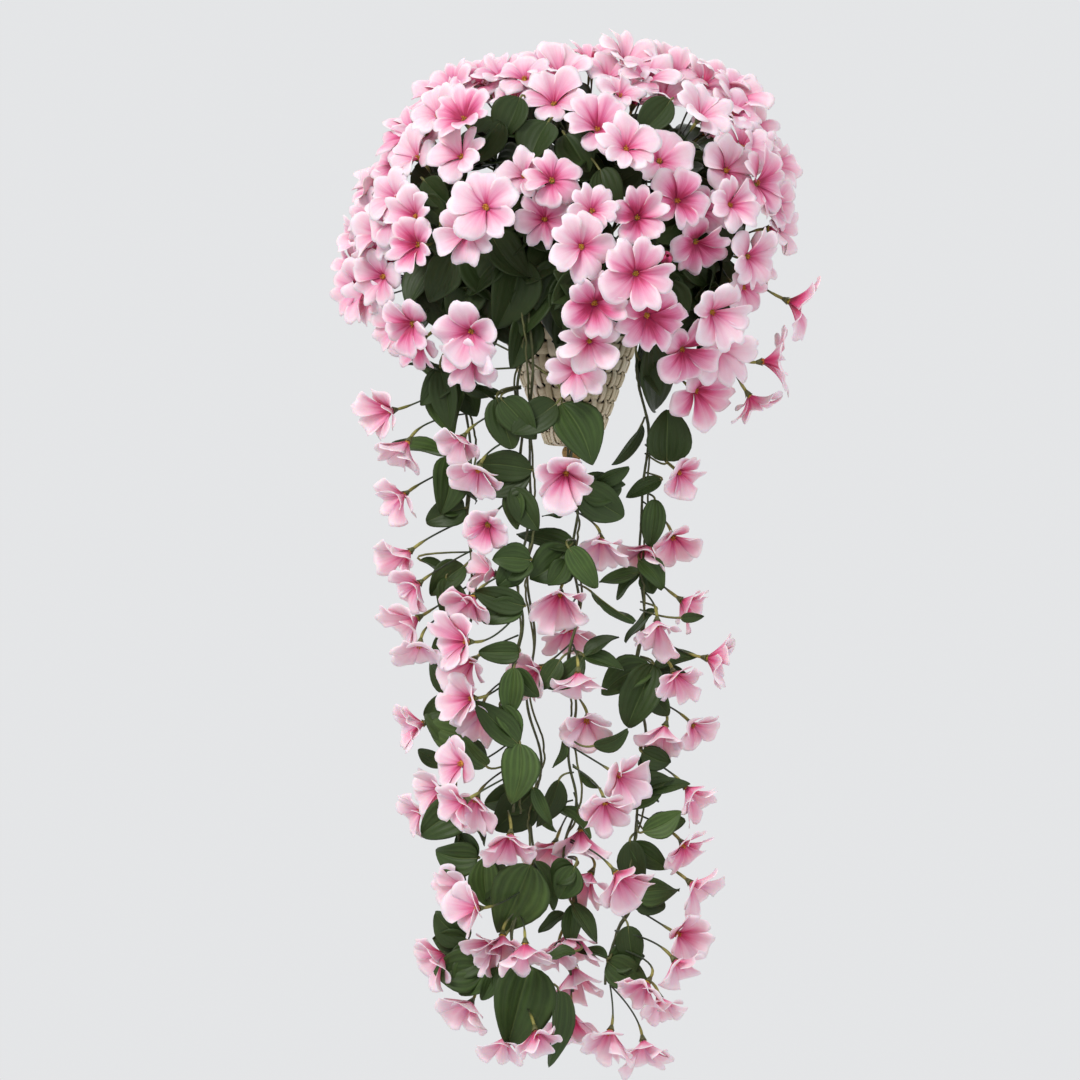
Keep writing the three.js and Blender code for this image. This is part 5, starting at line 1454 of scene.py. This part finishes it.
def companion(blade, rng):
    """A smaller leaf beside and a little behind one on a vine."""
    turn = math.radians(rng.uniform(26, 50) * rng.choice([-1, 1]))
    way = (blade.tip - blade.foot) * rng.uniform(0.66, 0.92)
    x = way[0] * math.cos(turn) - way[2] * math.sin(turn)
    z = way[0] * math.sin(turn) + way[2] * math.cos(turn)
    foot = blade.foot + way * 0.05 + np.array([0, 2.5, 0])
    tip = foot + np.array([x, way[1] + rng.uniform(0, 5), z])
    foot[1], tip[1] = min(foot[1], WALL - 3), min(tip[1], WALL - 3)
    azimuth, height = angles(blade.face)
    face = facing(azimuth + rng.uniform(-25, 25), height + rng.uniform(-15, 15))
    return Blade(foot, tip, face, blade.width * rng.uniform(0.8, 1.0), blade.root)


# ---------------------------------------------------------------- stems and whole plants


def stem(plant, line, radius):
    """A stem along a line, with knots, that sways where it hangs."""
    rng = plant.rng
    run = np.arange(len(line)) * LINE_STEP
    _, side, up = framed(line)
    sway = STEM_SWAY * np.clip((run - 60) / 60, 0, 1)
    path = line + side * (sway * np.sin(run / rng.uniform(15, 19) + rng.uniform(0, 6)))[:, None]
    path = path + up * (sway * np.sin(run / rng.uniform(11, 15) + rng.uniform(0, 6)))[:, None]
    path[:, 1] = np.minimum(path[:, 1], WALL - radius * 1.4)
    knots = 1 + 0.13 * np.clip(np.sin(run / 6.1 + rng.uniform(0, 6)), 0.4, 1)
    knots = knots + 0.05 * rng.standard_normal(len(path))
    plant.stems.tube(path, radius * knots, 8, young=0.12, run=run)
    return path


def second_strand(plant, line, path):
    """A thinner stem that winds loosely round a hanging one."""
    rng = plant.rng
    run = np.arange(len(path)) * LINE_STEP
    _, side, up = framed(line)
    turn = np.cumsum(rng.normal(0, 0.13, len(path))) + run / 31
    off = 3.0 + 2.4 * np.sin(run / 29 + rng.uniform(0, 6))
    off = off * np.clip((run - 70) / 40, 0, 1) + 0.7
    beside = path + side * (off * np.cos(turn))[:, None] + up * (off * np.sin(turn))[:, None]
    beside = beside[6:]
    beside[:, 1] = np.minimum(beside[:, 1], WALL - 1.4)
    plant.stems.tube(beside, 0.85, 6, young=0.2, run=run[6:])


def grow_spray(spray):
    number = spray["number"]
    plant = Plant(f"head_spray_{number:02d}", number - 1)
    path = stem(plant, spray["line"], SPRAY_STEM)
    for k, flower in enumerate(spray["flowers"]):
        bloom(plant, flower, HEAD, k in ROSY.get(number, ()))
    # The dome's leaves are darkened with painted shade, the ones inside it nearly to black.
    for blade in spray["blades"]:
        leaf(plant, tuck(blade), LEAF_PAINTED_SHADE["front"])
    for blade in spray["more_blades"]:
        leaf(plant, tuck(blade), LEAF_PAINTED_SHADE["inside"])
    inner = list(inner_leaves(spray["flowers"], path, plant.rng))
    skirt = list(skirt_leaves(path, SKIRT_LEAVES.get(number, 0), plant.rng))
    for blade in inner + skirt:
        leaf(plant, tuck(blade), LEAF_PAINTED_SHADE["inside"])
    for entry in BUDS.get(number, ()):
        bud(plant, *entry)
    plant.build()


def grow_vine(vine, number):
    plant = Plant(f"vine_{number:02d}", 99 + number)
    path = stem(plant, vine["line"], VINE_STEM)
    second_strand(plant, vine["line"], path)
    for flower in vine["flowers"]:
        bloom(plant, flower, BELL, False)
    for blade in vine["blades"] + vine["more_blades"]:
        leaf(plant, blade, LEAF_PAINTED_SHADE["vine"])
    for blade in vine["blades"]:
        if plant.rng.uniform() < COMPANIONS and blade.width < WIDE_LEAF:
            leaf(plant, companion(blade, plant.rng), LEAF_PAINTED_SHADE["companion"])
    plant.build()


# ---------------------------------------------------------------- the basket


def basket_half(z):
    """Half the basket's width at a height."""
    part = (z - BASKET["bottom"]) / (BASKET["top"] - BASKET["bottom"])
    return BASKET["tip"] + (BASKET["rim"] - BASKET["tip"]) * part


def even_turns(count):
    """Angles that part a half oval of the basket's shape into even lengths."""
    a = np.linspace(0, np.pi, 721)
    steps = np.hypot(np.diff(np.cos(a)), BASKET["depth"] * np.diff(np.sin(a)))
    run = np.concatenate([[0], np.cumsum(steps)])
    return np.interp(np.linspace(0, run[-1], count + 1), run, a)


FRONT_TURNS = even_turns(WEAVE["front"])
STAKES = WEAVE["front"] + WEAVE["back"]
ROW_PITCH = (BASKET["top"] - BASKET["bottom"]) / WEAVE["rows"]


def sharp_wall(w, z, inset, wall_inset):
    """Points of the basket's wall: w counts stakes round it from the right, first round the front."""
    w = np.mod(w, STAKES)
    half, front = basket_half(z), WEAVE["front"]
    angle = np.interp(np.minimum(w, front), np.arange(front + 1), FRONT_TURNS)
    back = np.clip((w - front) / WEAVE["back"], 0, 1)
    on_back = w > front
    x = np.where(on_back, -(half - inset) * (1 - 2 * back), (half - inset) * np.cos(angle))
    deep = half * BASKET["depth"] - inset - wall_inset
    y = np.where(on_back, WALL - wall_inset, WALL - wall_inset - deep * np.sin(angle))
    return np.stack([x, y, np.broadcast_to(z, x.shape)], axis=-1)


def wall(w, z, inset=WEAVE["inset"], wall_inset=WEAVE["wall"]):
    """The same with rounded corners."""
    w, z = np.broadcast_arrays(np.asarray(w, float), np.asarray(z, float))
    parts = [sharp_wall(w + d, z, inset, wall_inset) for d in (-0.36, -0.18, 0.0, 0.18, 0.36)]
    return sum(parts) / len(parts)


def wall_sides(w, z):
    """Directions round the wall, down it and out of it."""
    along = unit(wall(w + 0.05, z) - wall(w - 0.05, z))
    down = unit(wall(w, z - 0.5) - wall(w, z + 0.5))
    out = unit(np.cross(along, down))
    return along, unit(np.cross(out, along)), out


# A strip's section: parts of its half width, and of its thickness.
STRIP_PROFILE = [
    (-1, 0.0), (-0.86, -0.5), (0.0, -0.5), (0.86, -0.5), (1, 0.0), (0.86, 0.5), (0.0, 0.62), (-0.86, 0.5),
]


def strip(piece, path, across, out, half_width, thick, closed, tone, run):
    """A flat strip with rounded edges and a crowned face."""
    half_width = np.broadcast_to(half_width, len(path))
    rings = [path + across * (a * half_width)[:, None] + out * (b * thick) for a, b in STRIP_PROFILE]
    side = np.stack([a * half_width for a, _ in STRIP_PROFILE], axis=1)
    rim = np.broadcast_to(np.array([a for a, _ in STRIP_PROFILE]), side.shape)
    piece.loft(np.stack(rings, axis=1), closed, run=run, side=side, rim=rim, tone=tone)


def woven_row(piece, j, rng):
    """A strip that runs round the basket, over one stake and under the next."""
    w = np.arange(0, STAKES, 0.125)
    middle = wall(w, BASKET["top"] - ROW_PITCH * (j + 0.5))
    _, down, out = wall_sides(w, BASKET["top"] - ROW_PITCH * (j + 0.5))
    wobble = 0.25 * np.sin(w * 0.9 + rng.uniform(0, 6)) + 0.15 * rng.standard_normal(len(w))
    over = np.clip(1.9 * np.cos(np.pi * (w + j)), -1, 1)
    path = middle + out * (WEAVE["lift"] * over)[:, None] + down * wobble[:, None]
    half = ROW_PITCH * 0.5 * 0.87 * (1 - 0.05 * np.cos(2 * np.pi * w))
    run = run_along(path) + 1000 * j
    # counted down the wall so that the faces look outwards
    path, down, out, half, run = (a[::-1] for a in (path, down, out, half, run))
    strip(piece, path, down, out, half, WEAVE["thick"], True, rng.uniform(0.1, 0.9), run)


def stake(piece, i, rng):
    """A strip that runs down the basket and meets the others under its tip."""
    z = np.linspace(BASKET["top"] + 0.4, BASKET["bottom"] + 1.2, WEAVE["rows"] * 5 + 1)
    middle = wall(i, z)
    along, _, out = wall_sides(np.full(len(z), float(i)), z)
    level = (BASKET["top"] - z) / ROW_PITCH - 0.5
    path = middle - out * (WEAVE["lift"] * np.clip(1.7 * np.cos(np.pi * (i + level)), -1, 1))[:, None]
    spacing = np.linalg.norm(wall(i + 0.5, z) - wall(i - 0.5, z), axis=1)
    half = spacing * 0.5 * WEAVE["fill"] * (1 + 0.05 * np.sin(level * 2.3 + i))
    last, centre = path[-1], np.array([KNOT[0], KNOT[1], BASKET["bottom"] - 0.2])
    sink = np.array([0, 0, -0.9 - 0.3 * (i % 2)])
    tail = [last + (centre - last) * k + sink * min(k * 6, 1) for k in (0.12, 0.3, 0.5, 0.72)]
    path = np.vstack([path, tail])
    along = np.vstack([along, np.repeat(along[-1:], 4, axis=0)])
    under = unit(np.array([[0, 0, -1.0]]) + out[-1:] * 0.15)
    out = np.vstack([out, unit(out[-1:] + under), np.repeat(under, 3, axis=0)])
    half = np.concatenate([half, half[-1] * np.array([0.9, 0.75, 0.55, 0.35])])
    thick = WEAVE["thick"] * 0.95
    strip(piece, path, along, out, half, thick, False, rng.uniform(0.1, 0.9), run_along(path) + 333 * i)


def woven_basket():
    rng = np.random.default_rng([SEED, 900])
    piece = Piece("run", "side", "rim", "tone")
    for j in range(WEAVE["rows"]):
        woven_row(piece, j, rng)
    for i in range(STAKES):
        stake(piece, i, rng)
    piece.build("woven_wall", STRIP, "basket_weave", "basket_cone")


def shade_liner():
    """A thin bag inside the weave, nearly black as painted shade, seen through its slots."""
    piece = Piece()
    w = np.arange(0, STAKES, 0.5)
    levels = np.linspace(BASKET["top"] - 1, BASKET["bottom"] + 4, 12)
    outer = [wall(w, z, 2.75, 3.3) for z in levels]
    inner = [wall(w, z, 3.15, 3.75) for z in levels[::-1]]
    middle, narrow = np.array([KNOT[0], KNOT[1], 0]), np.array([0.1, 0.1, 1])
    tip = [middle + (ring - middle) * narrow for ring in (outer[-1], inner[0])]
    tip[1][:, 2] += 0.4
    rings = np.array([*outer, *tip, *inner])
    piece.loft(rings[:, ::-1], True)
    piece.build("shade_liner", SHADE_LINER, "basket_weave", "basket_cone")


def hoop_path(count):
    """The rim's middle line, evenly parted: round the front from the right, then back along the wall."""
    a = np.linspace(0, np.pi, 241)
    front = np.stack([RIM["half"] * np.cos(a), -RIM["deep"] * np.sin(a)], axis=1)
    back = np.stack([np.linspace(-RIM["half"], RIM["half"], 101)[1:], np.zeros(100)], axis=1)
    line = np.vstack([front, back])
    run = run_along(line)
    at = np.linspace(0, run[-1], count, endpoint=False)
    path = np.stack([np.interp(at, run, line[:, 0]), np.interp(at, run, line[:, 1])], axis=1)
    for _ in range(6):
        path = (np.roll(path, 1, axis=0) + path * 2 + np.roll(path, -1, axis=0)) / 4
    return np.column_stack([path, np.full(count, RIM["level"])]), run[-1]


def braided_rim():
    """Three strands that swing past each other round the hoop."""
    piece = Piece("run", "side", "rim", "tone")
    periods = RIM["periods"]
    count = periods * 20
    path, length = hoop_path(count)
    way = unit(np.roll(path, -1, axis=0) - np.roll(path, 1, axis=0))
    up = np.array([0, 0, 1.0])
    out = unit(np.cross(way, up))
    phase = 2 * np.pi * periods * np.arange(count) / count
    run = np.arange(count) * length / count
    for k in range(3):
        p = phase + 2 * np.pi * k / 3
        middle = path + out * (RIM["rise"] * np.sin(2 * p))[:, None]
        middle = middle + up * (RIM["swing"] * np.sin(p))[:, None]
        along = unit(np.roll(middle, -1, axis=0) - np.roll(middle, 1, axis=0))
        a = unit(np.cross(along, out))
        b = np.cross(along, a)
        rings = middle[:, None] + RIM["strand"] * circle(a[:, None] * 1.05, b[:, None] * 0.8, turns(8))
        side = np.broadcast_to(RIM["strand"] * 3 * turns(8) / np.pi, rings.shape[:2])
        piece.loft(rings, True, run=run + 500 * k, side=side, rim=0.0, tone=0.35 + 0.15 * k)
    piece.build("braided_rim", BRAID, "rim_braid", "rim_hoop")


def wire_loop():
    """Two wires twisted round each other, bent to an arch."""
    half, foot = LOOP["half"], LOOP["foot"]
    centre = LOOP["top"] - half
    side_level = (foot + centre) / 2
    arch = [math.pi * (1 - k / 8) for k in range(9)]
    points = [(-half, 0, foot), (-half, 0, side_level)]
    points += [(half * math.cos(a), 0, centre + half * math.sin(a)) for a in arch]
    points += [(half, 0, side_level), (half, 0, foot)]
    path = smooth_path(points, LOOP["step"])
    _, side, up = framed(path)
    turn = 2 * np.pi * np.arange(len(path)) * LOOP["step"] / LOOP["pitch"]
    piece = Piece()
    for k in range(2):
        a = turn + np.pi * k
        piece.tube(path + circle(side, up, a) * LOOP["wire"] * 0.86, LOOP["wire"], 8)
    piece.build("twisted_wire", WIRE, "hanger_wire", "hanging_loop")


def raffia_knot(piece):
    """The knot: a strip wound round and round a core."""
    count = 130
    a = np.linspace(0, 2 * np.pi * 4.5, count)
    climb = np.linspace(4.2, -4.2, count) + 0.7 * np.sin(a * 1.7)
    round_off = np.sqrt(np.maximum(1 - (climb / 6.6) ** 2, 0.05))
    path = KNOT + np.stack([7.4 * round_off * np.cos(a), 6.2 * round_off * np.sin(a), climb], axis=1)
    out = unit((path - KNOT) * np.array([1 / 9.0, 1 / 7.0, 0.12]))
    across = unit(np.cross(out, unit(np.gradient(path, axis=0))))
    strip(piece, path, across, out, 1.5 + 0.3 * np.sin(a * 2.3), 0.7, False, 0.5, np.arange(count) * 1.5)
    core = np.linspace(-5.6, 5.6, 9)
    round_off = np.sqrt(np.maximum(1 - (core / 6.0) ** 2, 0.04))
    angle = turns(14)
    rings = [KNOT + np.stack([6.7 * r * np.cos(angle), 5.6 * r * np.sin(angle), np.full(14, c)], axis=1)
             for r, c in zip(round_off, core)]
    piece.loft(rings, run=core, side=np.broadcast_to(angle * 4, (9, 14)), tone=0.3)


def raffia_end(piece, k, low, high, rng):
    """One of its crumpled ends, a strip that wanders down from the knot."""
    turn = 2 * np.pi * (k + rng.uniform(-0.3, 0.3)) / RAFFIA_ENDS
    out = np.array([math.cos(turn), math.sin(turn) * 0.8, 0])
    way = unit(out * rng.uniform(0.25, 0.9) + np.array([0, 0, -1.0]))
    path = [KNOT + out * 3.0 + np.array([0, 0, -3.5])]
    reach, steps = rng.uniform(9, 17), 15
    for _ in range(steps - 1):
        way = unit(way + rng.normal(0, 0.33, 3) + np.array([0, 0, -0.06]))
        path.append(path[-1] + way * reach / steps)
    path = np.clip(np.array(path), low + 1.0, high - np.array([1.0, 1.0, 0]))
    way, side, up = framed(path)
    twist = np.cumsum(rng.normal(0, 0.35, steps)) + rng.uniform(0, 6)
    across = circle(side, up, twist)
    width = rng.uniform(1.2, 2.2) * np.interp(np.arange(steps), [0, 3, steps - 1], [0.8, 1.0, 0.7])
    run = np.arange(steps) * 1.2 + 40 * k
    strip(piece, path, across, np.cross(way, across), width, 0.45, False, rng.uniform(0, 1), run)


def raffia_ends():
    rng = np.random.default_rng([SEED, 901])
    low, high = (np.array(c) / TO_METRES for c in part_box("raffia_tuft"))
    piece = Piece("run", "side", "rim", "tone")
    raffia_knot(piece)
    for k in range(RAFFIA_ENDS):
        raffia_end(piece, k, low, high, rng)
    piece.build("raffia_ends", RAFFIA, "raffia", "raffia_tuft")


def moss():
    """Short curled fibres over the top of the foam."""
    rng = np.random.default_rng([SEED, 902])
    piece = Piece()
    half, deep = basket_half(FOAM_TOP) - 5, basket_half(FOAM_TOP) * BASKET["depth"] - 10
    for _ in range(MOSS_FIBRES):
        angle, r = rng.uniform(0, np.pi), math.sqrt(rng.uniform(0, 1))
        start = np.array([half * r * math.cos(angle), WALL - 5 - deep * r * math.sin(angle), FOAM_TOP - 0.3])
        flat = rng.uniform(0, 2 * np.pi)
        aside = np.array([math.cos(flat), math.sin(flat), 0])
        reach = rng.uniform(3, 6.5)
        top = start + np.array([0, 0, reach * 0.6]) + aside * reach * 0.4
        end = start + aside * reach * rng.uniform(0.7, 1.2) + np.array([0, 0, reach * rng.uniform(0.1, 0.6)])
        path = bend(start, top, end, 5)
        piece.tube(path, np.linspace(0.42, 0.14, 5), 4)
    piece.build("foam_moss", MOSS, "foam")


# ---------------------------------------------------------------- the object
for spray in SPRAYS:
    grow_spray(spray)
for number, vine in enumerate(VINES, 1):
    grow_vine(vine, number)
woven_basket()
shade_liner()
braided_rim()
wire_loop()
raffia_ends()
moss()
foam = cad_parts["foam_block"]
foam.data.materials.clear()
foam.data.materials.append(FOAM)

# ---------------------------------------------------------------- floor, light and camera
# All of this is in metres.
FLOOR_LEVEL = -1.25
FLOOR_HALF = 2.5


def floor():
    mesh = bpy.data.meshes.new("floor")
    corners = [(x * FLOOR_HALF, y * FLOOR_HALF, 0) for x, y in ((-1, -1), (1, -1), (1, 1), (-1, 1))]
    mesh.from_pydata(corners, [], [(0, 1, 2, 3)])
    mesh.materials.append(plain_finish("pale_floor", FLOOR_GREY, 3.0, 0.8, 0.95, 0.05))
    ground = bpy.data.objects.new("floor", mesh)
    ground.location = (0, 0, FLOOR_LEVEL)
    bpy.context.scene.collection.objects.link(ground)


def soft_light(name, place, aim, size, power, tint):
    """A round lamp that points from its place to its aim."""
    light = bpy.data.lights.new(name, "AREA")
    light.shape = "DISK"
    light.size = size
    light.energy = power
    light.color = tint
    lamp = bpy.data.objects.new(name, light)
    lamp.location = place
    direction = np.array(aim) - np.array(place)
    lamp.rotation_euler = (
        math.atan2(math.hypot(direction[0], direction[1]), -direction[2]), 0,
        math.atan2(direction[1], direction[0]) - math.pi / 2,
    )
    bpy.context.scene.collection.objects.link(lamp)


floor()
soft_light("key_light", (-1.3, -2.0, 1.5), (0, -0.05, -0.15), 1.0, 47.0, (1.0, 0.985, 0.965))
soft_light("fill_light", (1.8, -1.6, 0.1), (0, -0.05, -0.25), 1.6, 5.0, (0.95, 0.97, 1.0))
soft_light("back_light", (0.6, 2.2, 1.2), (0, 0, -0.2), 1.6, 12.0, (1.0, 1.0, 1.0))

world = bpy.data.worlds.new("studio")
world.use_nodes = True
background = world.node_tree.nodes["Background"]
background.inputs["Color"].default_value = (0.905, 0.915, 0.93, 1.0)
background.inputs["Strength"].default_value = 0.86
bpy.context.scene.world = world
bpy.context.scene.view_settings.view_transform = "Standard"

camera = bpy.data.cameras.new("front_camera")
camera.angle = 2 * math.atan(VIEW_PX * MM_PER_PX / 2 / CAMERA_DISTANCE)
viewer = bpy.data.objects.new("front_camera", camera)
viewer.location = seen(VIEW_CENTRE_PX, VIEW_CENTRE_PX, CAMERA_DISTANCE) * TO_METRES
viewer.rotation_euler = (math.pi / 2, 0, 0)
bpy.context.scene.collection.objects.link(viewer)
bpy.context.scene.camera = viewer
